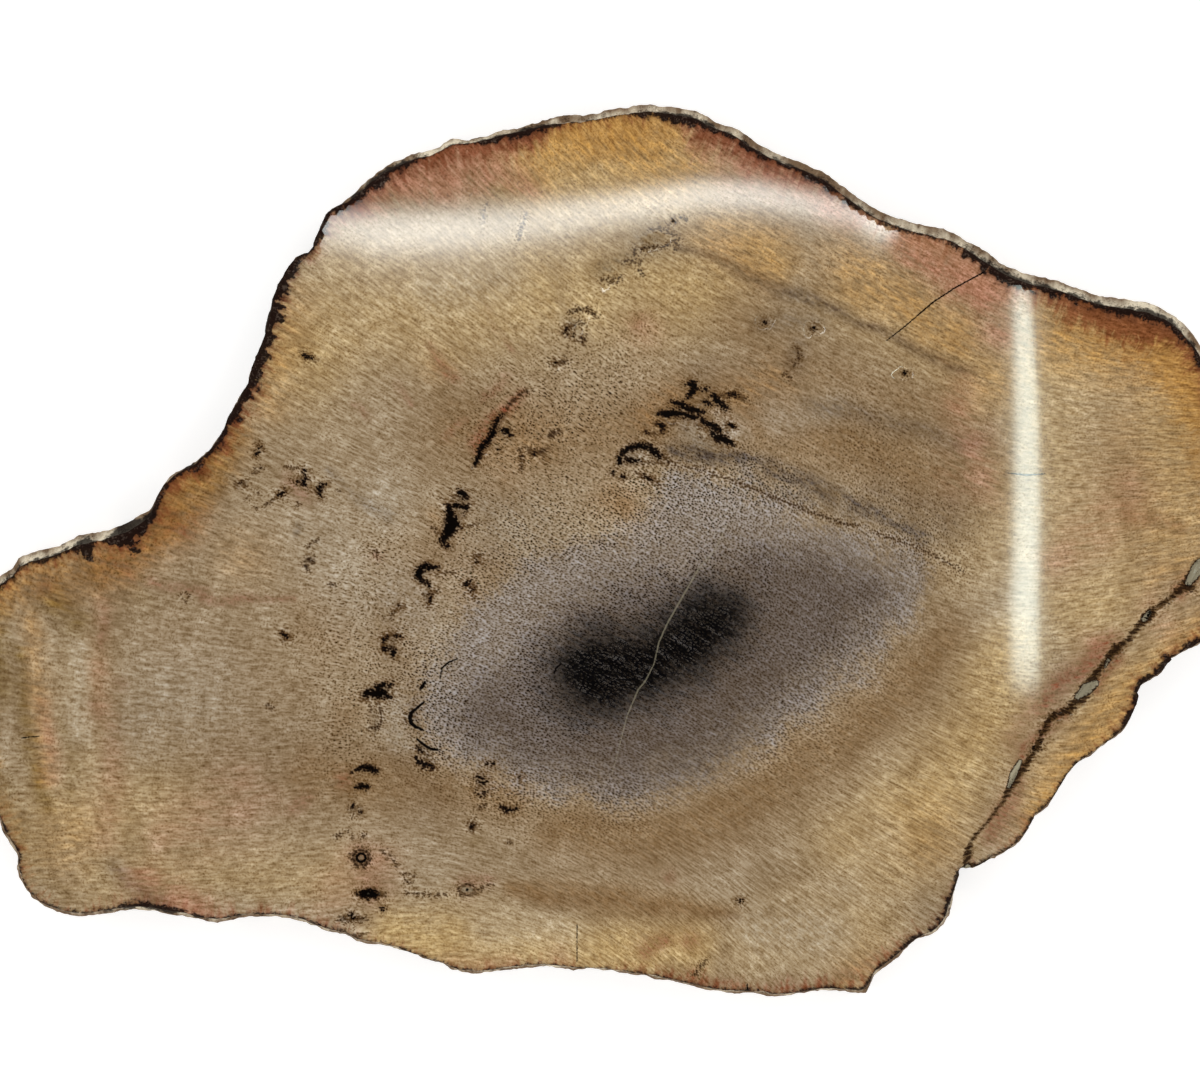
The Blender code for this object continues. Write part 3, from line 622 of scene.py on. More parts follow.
UMBER_STROKES = (
    (0.9, ((560, 830, 34), (650, 840, 40), (740, 810, 40), (830, 750, 36), (900, 690, 34),
     (950, 640, 30))), (0.85, ((460, 430, 50), (540, 440, 50), (620, 430, 46), (700, 400, 46))),
    (0.9, ((760, 430, 44), (850, 440, 50), (940, 480, 50))),
    (0.7, ((730, 320, 30), (770, 350, 34), (850, 380, 30), (940, 410, 26))),
    (1.0, ((310, 770, 40), (370, 780, 40), (440, 790, 36))), (0.6, ((430, 560, 44), (400, 640, 40))),
    (0.6, ((492, 566, 22), (456, 610, 20))), (0.9, ((480, 792, 24), (520, 800, 24))),
    (1.0, ((508, 888, 9), (560, 893, 15), (630, 903, 18), (700, 912, 13), (738, 918, 6))),
    (0.7, ((346, 712, 24), (330, 740, 20))), (0.6, ((310, 610, 30), (330, 640, 30))),
    (0.35, ((180, 640, 60), (280, 700, 60))), (0.5, ((390, 620, 36), (410, 690, 36), (430, 760, 34))),
    (0.35, ((150, 745, 44), (230, 745, 50), (300, 740, 44))), (0.3, ((930, 750, 30), (960, 700, 30))),
    (0.4, ((735, 385, 34), (700, 372, 30))),
    (0.7, ((30, 585, 24), (110, 562, 24), (160, 530, 24), (200, 490, 22), (236, 440, 20))),
    (0.8, ((606, 492, 22), (622, 514, 14))), (0.4, ((1110, 440, 40), (1130, 480, 40))),
)
DUSK_STROKES = (
    (0.3, ((490, 520, 40), (530, 530, 40), (470, 560, 30))), (0.34, ((738, 736, 26), (700, 762, 22))),
    (0.3, ((700, 372, 20), (744, 380, 26))), (0.22, ((630, 302, 26),)),
    (0.24, ((400, 610, 34), (405, 690, 34), (400, 750, 34), (430, 800, 34))),
    (0.14, ((150, 730, 50), (270, 745, 50), (330, 745, 40))),
    (1.0, ((672, 450, 11), (704, 452, 12), (742, 460, 10))), (0.5, ((744, 384, 14), (770, 390, 12))),
    (0.55, ((750, 478, 16), (800, 494, 15), (850, 512, 12))), (0.4, ((690, 424, 12),)),
    (0.45, ((575, 318, 10), (578, 336, 8))), (0.5, ((650, 240, 22), (600, 276, 14))),
    (0.5, ((800, 350, 12), (786, 374, 12))), (0.65, ((298, 525, 5), (294, 535, 4))),
    (0.6, ((115, 868, 10), (140, 890, 9), (166, 908, 7))), (0.35, ((945, 520, 30), (880, 500, 26))),
    (0.4, ((820, 322, 12), (762, 322, 10))), (0.2, ((925, 905, 20),)), (0.4, ((62, 600, 22),)),
    (0.9, ((684, 244, 5), (762, 281, 7), (840, 314, 7), (900, 342, 7), (970, 376, 7))),
    (0.45, ((800, 398, 8), (860, 414, 9), (920, 430, 10), (975, 446, 8))),
    (0.9, ((742, 456, 7), (780, 472, 9), (820, 490, 10), (870, 512, 10), (920, 534, 9))),
    (0.4, ((330, 470, 5), (360, 500, 5), (390, 515, 5))),
)
kept("ground", wash(HONEY_STROKES), wash(UMBER_STROKES), wash(DUSK_STROKES))
AMBER_STROKES = (
    (0.62, ((540, 150, 34), (600, 138, 36), (660, 150, 34))), (0.55, ((690, 160, 30),)),
    (0.62, ((0, 588, 26), (30, 572, 26), (64, 575, 24))), (0.3, ((70, 840, 34),)),
    (0.6, ((100, 566, 26), (150, 540, 24), (186, 512, 24))),
    (0.5, ((170, 500, 22), (200, 480, 22), (236, 430, 20))),
    (0.35, ((268, 400, 22), (284, 350, 20), (296, 300, 20))), (0.5, ((720, 240, 26), (770, 256, 34))),
    (0.5, ((850, 268, 34), (900, 296, 36), (960, 340, 30))), (0.35, ((985, 380, 30),)),
    (0.55, ((1060, 340, 30), (1120, 356, 40), (1190, 380, 44))),
    (0.25, ((1150, 440, 70), (1175, 560, 60))),
    (0.6, ((1205, 640, 34), (1150, 690, 30), (1090, 750, 28), (1034, 822, 24))),
    (0.45, ((627, 506, 18),)),
    (0.16, ((508, 888, 8), (560, 892, 14), (630, 900, 16), (700, 908, 12), (735, 914, 6))),
    (0.4, ((1150, 582, 14), (1190, 560, 18))), (0.25, ((440, 365, 18),)),
    (0.25, ((525, 425, 30), (505, 470, 26))), (0.4, ((770, 385, 24), (735, 396, 26))),
    (0.5, ((672, 396, 18), (648, 420, 16))), (0.25, ((930, 835, 40),)),
    (0.4, ((34, 620, 10), (38, 700, 10), (46, 780, 10))), (0.3, ((860, 975, 30),)),
    (0.3, ((436, 512, 9), (438, 528, 9))), (0.15, ((456, 512, 16), (466, 570, 16))),
    (0.25, ((240, 560, 30),)),
)
RUST_STROKES = (
    (0.55, ((200, 597, 3), (230, 602, 4), (290, 599, 3))),
    (0.6, ((433, 343, 3), (443, 362, 5), (455, 380, 4))),
    (0.5, ((483, 306, 1.6), (497, 331, 1.6), (513, 354, 1.6))), (0.4, ((396, 387, 3), (408, 402, 3))),
    (0.5, ((358, 409, 3), (373, 418, 3))), (0.5, ((448, 438, 4), (467, 424, 3))),
    (0.5, ((484, 397, 4), (500, 386, 5))), (0.8, ((524, 392, 5), (500, 416, 6), (480, 446, 7))),
    (0.85, ((1190, 580, 8), (1180, 596, 7))),
    (0.75, ((1112, 640, 12), (1090, 660, 14), (1062, 684, 12), (1040, 708, 9))),
    (0.7, ((1120, 660, 7), (1100, 690, 6))),
    (0.65, ((1060, 716, 8), (1026, 750, 7), (1018, 780, 8), (1006, 806, 8), (994, 836, 9))),
    (0.6, ((1020, 820, 7), (1030, 834, 6))), (0.7, ((642, 948, 9), (664, 942, 9))),
    (0.65, ((688, 944, 11),)), (0.5, ((670, 879, 6),)), (0.5, ((692, 977, 6), (744, 984, 7))),
    (0.35, ((760, 985, 7), (800, 986, 7))), (0.3, ((842, 978, 9), (886, 958, 6))),
    (0.6, ((170, 512, 9), (190, 530, 8), (160, 522, 7))),
    (0.34, ((104, 560, 20), (150, 545, 22), (196, 518, 18))),
    (0.5, ((150, 575, 4), (178, 584, 5), (204, 592, 4))), (0.4, ((640, 318, 6), (636, 332, 5))),
    (0.3, ((1130, 512, 8), (1180, 530, 7))), (0.4, ((104, 623, 6), (101, 645, 6))),
    (0.35, ((93, 700, 6), (95, 715, 7))), (0.6, ((345, 779, 9),)), (0.4, ((310, 800, 6), (290, 812, 6))),
    (0.4, ((120, 683, 6),)), (0.4, ((110, 556, 9), (130, 570, 10))), (0.5, ((361, 858, 14),)),
    (0.45, ((370, 894, 18),)), (0.45, ((467, 890, 12), (488, 884, 5))), (0.35, ((45, 585, 9),)),
    (0.45, ((505, 378, 6),)), (0.4, ((376, 553, 7),)), (0.35, ((1035, 700, 14), (1015, 740, 12))),
    (0.4, ((292, 478, 9), (310, 500, 8))),
)
ROSE_STROKES = (
    (0.34, ((104, 600, 12), (98, 680, 12), (112, 760, 16), (106, 840, 16))),
    (0.6, ((140, 876, 16), (200, 908, 16))), (0.35, ((40, 700, 8), (52, 780, 8))),
    (0.35, ((450, 965, 14), (505, 968, 12))), (0.35, ((380, 870, 22), (340, 880, 24))),
    (0.3, ((330, 900, 20),)), (0.5, ((1090, 650, 16),)), (0.45, ((980, 480, 26), (960, 400, 18))),
    (0.3, ((560, 960, 12),)), (0.8, ((370, 196, 22), (420, 178, 26), (480, 176, 20), (530, 180, 14))),
    (0.6, ((740, 170, 22), (800, 190, 16), (850, 216, 14))),
    (0.9, ((900, 246, 12), (950, 270, 24), (985, 300, 22))), (0.5, ((1000, 330, 22),)),
    (0.35, ((1120, 500, 30), (1060, 560, 24))), (0.3, ((240, 800, 40), (170, 840, 30))),
    (0.3, ((1150, 610, 14), (1180, 640, 12))), (0.25, ((640, 330, 22),)),
)
kept("stain", wash(AMBER_STROKES), wash(RUST_STROKES), wash(ROSE_STROKES))
OLIVE_STROKES = (
    (0.8, ((-6, 620, 22), (0, 690, 18))), (0.85, ((52, 600, 18), (74, 620, 16))),
    (0.85, ((20, 650, 9), (24, 720, 9), (44, 812, 9))), (0.5, ((0, 780, 14), (22, 850, 14))),
    (0.5, ((60, 720, 6), (74, 800, 6))), (0.4, ((140, 590, 16),)),
    (0.6, ((96, 566, 16), (150, 540, 20), (196, 494, 20), (232, 440, 16))),
    (0.4, ((30, 860, 14), (60, 890, 12))), (0.4, ((1190, 420, 22),)),
    (0.5, ((826, 988, 9), (848, 985, 7))), (0.2, ((940, 890, 16),)), (0.4, ((476, 840, 9),)),
)
PALE_AND_SHEEN_STROKES = (
    (0.35, ((205, 912, 20), (290, 925, 24), (350, 932, 20))), (0.6, ((760, 930, 30), (820, 930, 34))),
    (0.3, ((1080, 400, 40), (1084, 560, 40))), (0.5, ((78, 650, 14), (78, 740, 16))),
    (0.5, ((395, 704, 12), (398, 740, 12))), (0.35, ((330, 540, 36), (350, 600, 30))),
    # Painted sheen: the stroke from (430, 290) to (500, 280) paints the bent lamp's whitish sheen below its
    # mirrored band into the colour; the other pale strokes are paler wood
    (0.5, ((430, 290, 34), (500, 280, 30))), (0.4, ((560, 930, 24), (480, 930, 20))),
    (0.3, ((140, 720, 50), (200, 680, 50))), (0.6, ((632, 455, 9), (645, 456, 9))),
    (0.6, ((700, 438, 12), (690, 432, 8))), (0.3, ((300, 300, 40), (400, 290, 40))),
    (0.3, ((840, 900, 30), (880, 840, 30))), (0.5, ((385, 500, 26),)),
    (0.4, ((780, 420, 18), (830, 410, 14))), (0.4, ((400, 590, 30), (440, 630, 30))),
    (0.5, ((720, 240, 16),)), (0.5, ((720, 414, 10), (740, 428, 10), (700, 436, 9))),
    (0.35, ((1000, 600, 34),)),
)
CRISP_STROKES = (
    (1.0, ((480, 560, 70), (560, 520, 80), (660, 500, 70), (760, 480, 60))),
    (1.0, ((430, 640, 60), (440, 740, 50))), (0.9, ((600, 400, 70), (520, 440, 60))),
    (0.8, ((380, 560, 50), (360, 640, 50), (350, 740, 40))), (0.7, ((480, 790, 40), (620, 800, 40))),
    (1.0, ((700, 600, 110), (560, 680, 100))), (0.7, ((840, 640, 70), (780, 740, 50))),
    (0.6, ((860, 460, 60), (940, 540, 50))),
)
kept("wash", wash(OLIVE_STROKES), wash(PALE_AND_SHEEN_STROKES), wash(CRISP_STROKES))
kept("clouds", clouds(flat, 16.0, 2.5), clouds(flat, 5.0, 3.5), clouds(flat, 2.6, 4.5))

# Where the rim's own stains reach in from the polished edge, clockwise from the lower left corner:
# place, then how far the black crust, the rust, the amber and the rose reach, and how pale the rind is
RIM = (
    (35, 905, 1, 3, 8, 0, 0.5), (18, 850, 2, 4, 16, 0, 0.4), (-25, 740, 3, 6, 30, 0, 0.4),
    (-28, 640, 4, 8, 30, 0, 0.5), (2, 573, 3, 8, 30, 0, 0.7), (20, 560, 3, 8, 28, 0, 0.9),
    (45, 548, 4, 8, 28, 0, 1.0), (70, 545, 4, 10, 30, 0, 1.0), (85, 541, 12, 14, 30, 0, 1.0),
    (98, 539, 3, 12, 30, 0, 1.0), (112, 535, 8, 20, 30, 0, 1.0), (125, 530, 20, 25, 30, 0, 0.8),
    (140, 518, 8, 16, 36, 0, 0.5), (160, 498, 4, 16, 45, 0, 0.4), (180, 480, 4, 20, 45, 0, 0.4),
    (205, 450, 4, 16, 40, 0, 0.3), (235, 412, 9, 18, 25, 0, 0.2), (252, 370, 9, 16, 20, 0, 0.1),
    (270, 320, 11, 18, 14, 0, 0.1), (290, 270, 9, 12, 8, 4, 0.1), (300, 252, 5, 8, 4, 12, 0.2),
    (325, 225, 5, 10, 0, 20, 0.2), (350, 195, 6, 20, 0, 30, 0.2), (385, 165, 7, 18, 10, 45, 0.3),
    (410, 156, 5, 18, 12, 50, 0.5), (430, 148, 1, 20, 20, 52, 0.8), (460, 140, 1, 20, 20, 50, 0.9),
    (490, 134, 5, 20, 34, 45, 0.6), (520, 130, 7, 26, 38, 34, 0.4), (545, 125, 5, 16, 42, 16, 0.4),
    (570, 118, 1, 9, 46, 0, 0.6), (620, 110, 1, 4, 50, 0, 0.7), (643, 108, 4, 6, 48, 0, 0.7),
    (665, 111, 7, 9, 45, 4, 0.6), (690, 120, 7, 16, 36, 30, 0.5), (712, 124, 4, 20, 20, 40, 0.5),
    (735, 136, 4, 24, 12, 42, 0.5), (755, 150, 6, 22, 10, 40, 0.5), (790, 165, 4, 18, 12, 36, 0.5),
    (825, 178, 6, 14, 12, 30, 0.4), (860, 205, 4, 8, 14, 25, 0.5), (890, 228, 3, 6, 20, 20, 0.5),
    (930, 238, 2, 4, 26, 40, 0.5), (965, 252, 5, 7, 26, 46, 0.6), (1000, 270, 8, 10, 20, 44, 0.6),
    (1030, 285, 6, 10, 30, 26, 0.7), (1060, 290, 6, 26, 40, 16, 1.0), (1090, 300, 5, 32, 50, 0, 1.0),
    (1125, 310, 7, 40, 60, 0, 1.0), (1155, 312, 9, 40, 66, 0, 0.9), (1185, 335, 5, 22, 70, 0, 0.7),
    (1225, 400, 6, 16, 60, 0, 0.6), (1238, 500, 5, 18, 46, 0, 0.5), (1240, 590, 5, 14, 30, 0, 0.5),
    (1195, 645, 5, 12, 20, 0, 0.3), (1150, 678, 5, 11, 14, 0, 0.3), (1136, 715, 6, 12, 12, 0, 0.3),
    (1120, 745, 2, 5, 10, 0, 0.4), (1075, 775, 2, 3, 10, 0, 0.4), (1040, 830, 2, 3, 8, 0, 0.4),
    (1000, 858, 2, 4, 6, 0, 0.4), (972, 868, 3, 4, 0, 0, 0.4), (955, 885, 4, 4, 0, 0, 0.9),
    (940, 925, 5, 6, 4, 0, 0.9), (900, 955, 3, 9, 6, 0, 0.5), (868, 988, 2, 7, 6, 0, 0.5),
    (830, 990, 3, 9, 6, 0, 0.5), (780, 990, 1, 12, 8, 0, 0.6), (745, 990, 2, 5, 8, 0, 0.6),
    (700, 978, 1, 11, 8, 0, 0.6), (600, 968, 1, 2, 8, 0, 0.7), (500, 968, 1, 4, 6, 4, 0.7),
    (440, 955, 1, 2, 5, 0, 0.6), (340, 935, 2, 3, 4, 8, 0.5), (250, 915, 1, 3, 4, 10, 0.5),
    (190, 915, 2, 4, 4, 26, 0.5), (150, 905, 6, 5, 4, 20, 0.5), (100, 912, 2, 3, 6, 6, 0.5),
)
inside, around = rim_distance(flat, arris)
stations = drawn(*RIM)
station_around = rim_distance(stations[:, :2], arris)[1]
order = np.argsort(station_around)


def reach_at(column):
    """One of the rim's depths for every vertex, by how far round the rim it is."""
    return np.interp(around, station_around[order], stations[order, column], period=RIM_LENGTH)


turn = around / RIM_LENGTH * 2 * np.pi
kept("around", np.cos(turn) * RIM_LENGTH / (2 * np.pi), np.sin(turn) * RIM_LENGTH / (2 * np.pi), inside)
kept("crust", reach_at(2) - inside, reach_at(3) - inside, reach_at(4) - inside)
kept("rind", reach_at(5) - inside, reach_at(6) * PER_MM, places[:, 2])
kept("grain", grain_along, grain_across, gap(flat, LENSES))
kept("mark", gap(flat, POCKETS), gap(flat, HAIRLINES), gap(flat, PALE_VEIN))
kept("seam", gap(flat, SEAMS), wall_skin, upright)


def along_split(points):
    """For each point, how far along the split it is nearest to, and how far to the left of it, in mm."""
    path = drawn(*SPLIT[0])
    nearest = np.full(len(points), np.inf)
    along = np.zeros(len(points))
    across = np.zeros(len(points))
    gone = 0.0
    for start, end in zip(path[:, :2], path[1:, :2]):
        step = end - start
        length = np.linalg.norm(step)
        there = points - start
        share = np.clip(there @ step / length ** 2, 0, 1)
        away = np.linalg.norm(there - share[:, None] * step, axis=1)
        closer = away < nearest
        nearest[closer] = away[closer]
        along[closer] = gone + share[closer] * length
        across[closer] = ((step[0] * there[:, 1] - step[1] * there[:, 0]) / length)[closer]
        gone += length
    return along, across


split_along, split_across = along_split(flat)
kept("split", gap(flat, SPLIT), split_along, split_across)

# The stone's finish. Brown and grey agate in the pattern of the wood, polished on the face; the rind
# is dull and weathered and the back is plain saw-cut stone.


class Wire:
    """A node's output that can be written into sums; each sum adds the Math node for it."""
    tree = None

    def __init__(self, socket):
        self.socket = socket

    @classmethod
    def node(cls, kind, settings=None, sockets=None, out=0):
        """Any node, by its type, its settings, and the values or wires of its sockets."""
        made = cls.tree.nodes.new(kind)
        for name, value in (settings or {}).items():
            setattr(made, name, value)
        for name, value in (sockets or {}).items():
            if isinstance(value, Wire):
                cls.tree.links.new(value.socket, made.inputs[name])
            else:
                made.inputs[name].default_value = value
        return cls(made.outputs[out]) if made.outputs else None

    def other(self, out):
        return Wire(self.socket.node.outputs[out])

    def sum(self, operation, first, second):
        return self.node("ShaderNodeMath", {"operation": operation}, {0: first, 1: second})

    def __add__(self, more):
        return self.sum("ADD", self, more)

    __radd__ = __add__

    def __sub__(self, less):
        return self.sum("SUBTRACT", self, less)

    def __rsub__(self, whole):
        return self.sum("SUBTRACT", whole, self)

    def __mul__(self, times):
        return self.sum("MULTIPLY", self, times)

    __rmul__ = __mul__

    def __pow__(self, power):
        return self.sum("POWER", self, power)


def colour(red, green, blue):
    """A colour by its screen values from 0 to 255."""
    parts = [value / 255 for value in (red, green, blue)]
    return (*(((part + 0.055) / 1.055) ** 2.4 if part > 0.04045 else part / 12.92 for part in parts), 1.0)


def ramp(value, low, high):
    """0 below low, 1 above high, smooth between; low may be the larger."""
    settings = {"interpolation_type": "SMOOTHSTEP", "clamp": True}
    if low < high:
        return Wire.node("ShaderNodeMapRange", settings, {0: value, 1: low, 2: high, 3: 0.0, 4: 1.0})
    return Wire.node("ShaderNodeMapRange", settings, {0: value, 1: high, 2: low, 3: 1.0, 4: 0.0})


def mixed(amount, under, over, how="MIX"):
    return Wire.node("ShaderNodeMix", {"data_type": "RGBA", "blend_type": how, "clamp_factor": True},
                     {0: amount, 6: under, 7: over}, out=2)


def parts_of(name):
    """The three values kept on the mesh under a name."""
    vector = Wire.node("ShaderNodeAttribute", {"attribute_name": name}, out="Vector")
    first = Wire.node("ShaderNodeSeparateXYZ", {}, {0: vector})
    return first, first.other(1), first.other(2)


def vector_of(x, y, z=0.0):
    return Wire.node("ShaderNodeCombineXYZ", {}, {0: x, 1: y, 2: z})


def cloud(where, scale, detail=2.0, across="2D"):
    """Soft noise about 0, mostly from -0.5 to 0.5."""
    made = Wire.node("ShaderNodeTexNoise", {"noise_dimensions": across},
                     {"Vector": where, "Scale": scale, "Detail": detail, "Roughness": 0.6})
    return (made - 0.5) * 1.8


def cells(where):
    """Distance to the nearest of scattered points about 1 apart, and a number for each point."""
    made = Wire.node("ShaderNodeTexVoronoi", {"feature": "F1", "voronoi_dimensions": "2D"},
                     {"Vector": where, "Scale": 1.0, "Randomness": 0.9})
    return made, Wire.node("ShaderNodeSeparateXYZ", {}, {0: made.other("Color")})


SAPWOOD = colour(158, 137, 108)
HONEY = colour(188, 158, 108)
UMBER = colour(134, 106, 72)
DUSK = colour(84, 71, 60)
# Pale wood, also used for a painted sheen just below the bent lamp's mirrored band
PALE_AND_SHEEN = colour(182, 168, 146)
OLIVE = colour(122, 96, 52)
AMBER = colour(184, 132, 60)
BURNT = colour(138, 98, 54)
RUST = colour(122, 64, 38)
ROSE = colour(168, 118, 90)
PALE_RING = colour(141, 127, 112)
HEART = colour(102, 89, 78)
CORE = colour(4, 3, 3)
SPECK = colour(96, 90, 84)
MARK_HALO = colour(104, 76, 44)
MARK_BROWN = colour(42, 25, 13)
MARK_BLACK = colour(7, 3, 1)
SEAM_BROWN = colour(68, 47, 27)
CRUST = colour(18, 11, 9)
CRUST_FADE = colour(76, 44, 32)
CRUST_ASH = colour(96, 82, 72)
QUARTZ = colour(166, 158, 134)
RIND_PALE = colour(222, 210, 186)
RIND_DARK = colour(110, 88, 66)
SAWN = colour(176, 158, 130)

material = bpy.data.materials.new("petrified_wood")
material.use_nodes = True
material.node_tree.nodes.clear()
Wire.tree = material.node_tree

spot = Wire.node("ShaderNodeTexCoord", out="Object")
spot = Wire.node("ShaderNodeVectorMath", {"operation": "SCALE"}, {0: spot, "Scale": 1 / MM})
core, heart, ring = parts_of("zone")
honey, umber, dusk = parts_of("ground")
amber, rust, rose = parts_of("stain")
olive, pale, crisp = parts_of("wash")
wide, broad, patch = parts_of("clouds")
circle_x, circle_y, depth = parts_of("around")
crust_reach, rust_reach, amber_reach = parts_of("crust")
rose_reach, rind_pale, height = parts_of("rind")
along, across, lens = parts_of("grain")
pocket, hairline, vein = parts_of("mark")
seam, wall_skin, upright = parts_of("seam")
split, seam_along, seam_across = parts_of("split")

small = cloud(spot, 0.9, 2)
crumbs = cloud(spot, 2.4, 1)
streaks = cloud(vector_of(along * 0.16, across * 1.0), 1.0, 2)
hair = cloud(vector_of(along * 0.4, across * 1.9), 1.0, 1)
rays = cloud(vector_of(circle_x * 0.8, circle_y * 0.8, depth * 0.16), 1.0, 2, "3D")
# Growth rings, side by side with the heart's outline
growth = cloud(vector_of(ring * 0.5 + broad * 0.5, along * 0.025), 1.0, 3)

# Wood pores: round ones across the middle, drawn out along the grain further off
round_cell, round_chance = cells(vector_of(along * 1.9 + small * 0.5, across * 2.1))
dash_along = along * 1.3 + patch * 1.4 + broad * 2.4 + crumbs * 0.4
dash_cell, dash_chance = cells(vector_of(dash_along, across * 2.1 + small * 0.9))
dashed = ramp(ring + broad * 6, 2.0, -20.0) * 0.8
cell = round_cell * (1 - dashed) + dash_cell * dashed
chance = round_chance * (1 - dashed) + dash_chance * dashed
pore = ramp(cell + crumbs * 0.14 - chance * 0.2, 0.24, 0.0)
grain = ramp(cell - crumbs * 0.16, 0.34, 0.66)
marked = ramp(pocket, 2.6, 0.2) * 0.26 + ramp(seam, 1.8, 0.2) * 0.16
contrast = (0.19 + crisp * 0.68 + patch * 0.12 + broad * 0.1) * (1 - pale * 0.5) + marked

tint = mixed(honey * (0.95 + small * 0.35 + streaks * 0.4), SAPWOOD, HONEY)
tint = mixed(umber * (0.9 + small * 0.5 + streaks * 0.6), tint, UMBER)
# Paler wood, and the painted sheen below the bent lamp's band
tint = mixed(pale * (0.85 + small * 0.8), tint, PALE_AND_SHEEN)
scatter = (chance - 0.5) * 3.2 + small * 2.4
tint = mixed(ramp(ring + scatter + broad * 3, -3.0, 4.5), tint, PALE_RING)
tint = mixed(ramp(heart + scatter + broad * 3 + growth * 4, -5.5, 7.0), tint, HEART)
tint = mixed(ramp(core + scatter * 0.6 + streaks * 4.0 + broad * 2, -7.5, 4.0), tint, CORE)
speckled = ramp(core, -6.0, 1.0) * ramp(round_cell + crumbs * 0.1 - streaks * 0.3, 0.42, 0.16)
tint = mixed(speckled * 0.62, tint, SPECK)
tint = mixed(dusk * (0.75 + small * 0.7 + streaks * 1.0), tint, DUSK)
tint = mixed(olive * (0.8 + streaks * 1.0), tint, OLIVE)
burnt_amber = mixed(crisp + umber, AMBER, BURNT)
tint = mixed(amber * (0.7 + small * 0.4 + streaks * 1.1 + hair * 0.5), tint, burnt_amber)
tint = mixed(rose * (0.8 + streaks * 1.0 + broad * 0.8), tint, ROSE)
tint = mixed(rust * (0.75 + hair * 1.0 + small * 0.8), tint, RUST)
tint = mixed(ramp(amber_reach + rays * 6 + small * 2, -1.0, 9.0) * 0.62, tint, mixed(umber, AMBER, BURNT))
tint = mixed(ramp(rose_reach + rays * 6, -1.0, 6.0) * 0.7, tint, ROSE)
tint = mixed(ramp(rust_reach + rays * 5 + small * 2.5, -1.0, 3.5) * 0.84, tint, RUST)

shade = 1 - contrast * (pore * 1.15 - grain * 0.5)
shade = shade * (1 + crumbs * (0.28 + crisp * 0.22) + hair * (0.62 - crisp * 0.34) + small * 0.14)
shade = shade * (1 + streaks * (0.28 + amber * 0.4))
shade = shade * (1 + growth * 0.2 + broad * 0.12 + wide * 0.08)
tint = mixed(1.0, tint, vector_of(shade, shade ** 1.25, shade ** 1.65), "MULTIPLY")

# Dark marks: ragged, because they follow the pores
ragged = (cell - 0.38) * 1.1 + crumbs * 0.5 + small * 0.45
lumps = cloud(vector_of(circle_x * 0.42, circle_y * 0.42, depth * 0.5), 1.0, 2, "3D")
reach = crust_reach + depth
blackened = reach * (1 + lumps * 2.0 + rays * 0.9) - depth
blackened = ramp(blackened + ragged * 0.8, -0.3, 0.6)
faded = ramp(crust_reach + rays * 2.5 + lumps * 1.6, -1.6, 0.8) * ramp(reach, 0.4, 1.3)
tint = mixed(faded * 0.5, tint, CRUST_FADE)
crust = mixed(ramp(small + lumps - ragged, 0.1, 0.75) * 0.55, CRUST, CRUST_ASH)
tint = mixed(blackened * 0.95, tint, crust)
tint = mixed(ramp(seam + ragged * 1.3, 0.7, 0.0) * 0.45, tint, MARK_HALO)
tint = mixed(ramp(seam + ragged * 1.2, 0.26, -0.18) * (0.62 + pore * 0.3), tint, SEAM_BROWN)
tint = mixed(ramp(seam + cell * 1.5, 0.42, 0.05) * 0.8, tint, MARK_BROWN)
tint = mixed(ramp(pocket + ragged * 1.5, 1.4, 0.1) * 0.62, tint, MARK_HALO)
tint = mixed(ramp(pocket + ragged * 1.1, 0.30, -0.08) * 0.95, tint, MARK_BROWN)
tint = mixed(ramp(pocket + ragged, -0.02, -0.36), tint, MARK_BLACK)
tint = mixed(ramp(vein + crumbs * 0.1, 0.10, -0.10) * 0.36, tint, QUARTZ)
tint = mixed(ramp(hairline + crumbs * 0.12, 0.12, -0.08), tint, MARK_BLACK)

# The split: rope-like ridges, dark in its depth, with pale quartz in the lenses
rope = cloud(vector_of(seam_along * 1.6 + seam_across * 1.2, seam_across * 0.5), 1.0, 1)
tint = mixed(ramp(split + rope * 0.9 + ragged * 0.5, 0.1, -0.3) * 0.75, tint, MARK_HALO)
tint = mixed(ramp(split + rope * 1.6 + ragged * 0.5, -0.25, -0.7) * 0.85, tint, MARK_BROWN)
tint = mixed(ramp(lens + crumbs * 0.3, 0.1, -0.15), tint, QUARTZ)
tint = mixed(ramp(lens + crumbs * 0.3, 0.25, 0.0) * ramp(lens + crumbs * 0.3, -0.3, 0.0), tint, MARK_BROWN)
tint = mixed(ramp(lens, 0.0, -0.2) * ramp(pocket + ragged, 0.1, -0.1), tint, MARK_BLACK)

# The back keeps the pattern, dulled by the saw, with faint lines from its teeth
saw = Wire.node("ShaderNodeVectorMath", {"operation": "MULTIPLY"}, {0: spot, 1: (0.05, 1.5, 0.0)})
saw = cloud(saw, 1.0, 2)
back_skin = ramp(upright, -0.6, -0.9) * (1 - wall_skin)
tint = mixed(back_skin * 0.5, tint, SAWN)
dull = 1 + saw * back_skin * 0.16
tint = mixed(1.0, tint, vector_of(dull, dull, dull), "MULTIPLY")

stone_face = Wire.node("ShaderNodeBsdfPrincipled", {},
                       {"Base Color": tint, "Roughness": 0.035 + pore * contrast * 0.14, "IOR": 1.54})

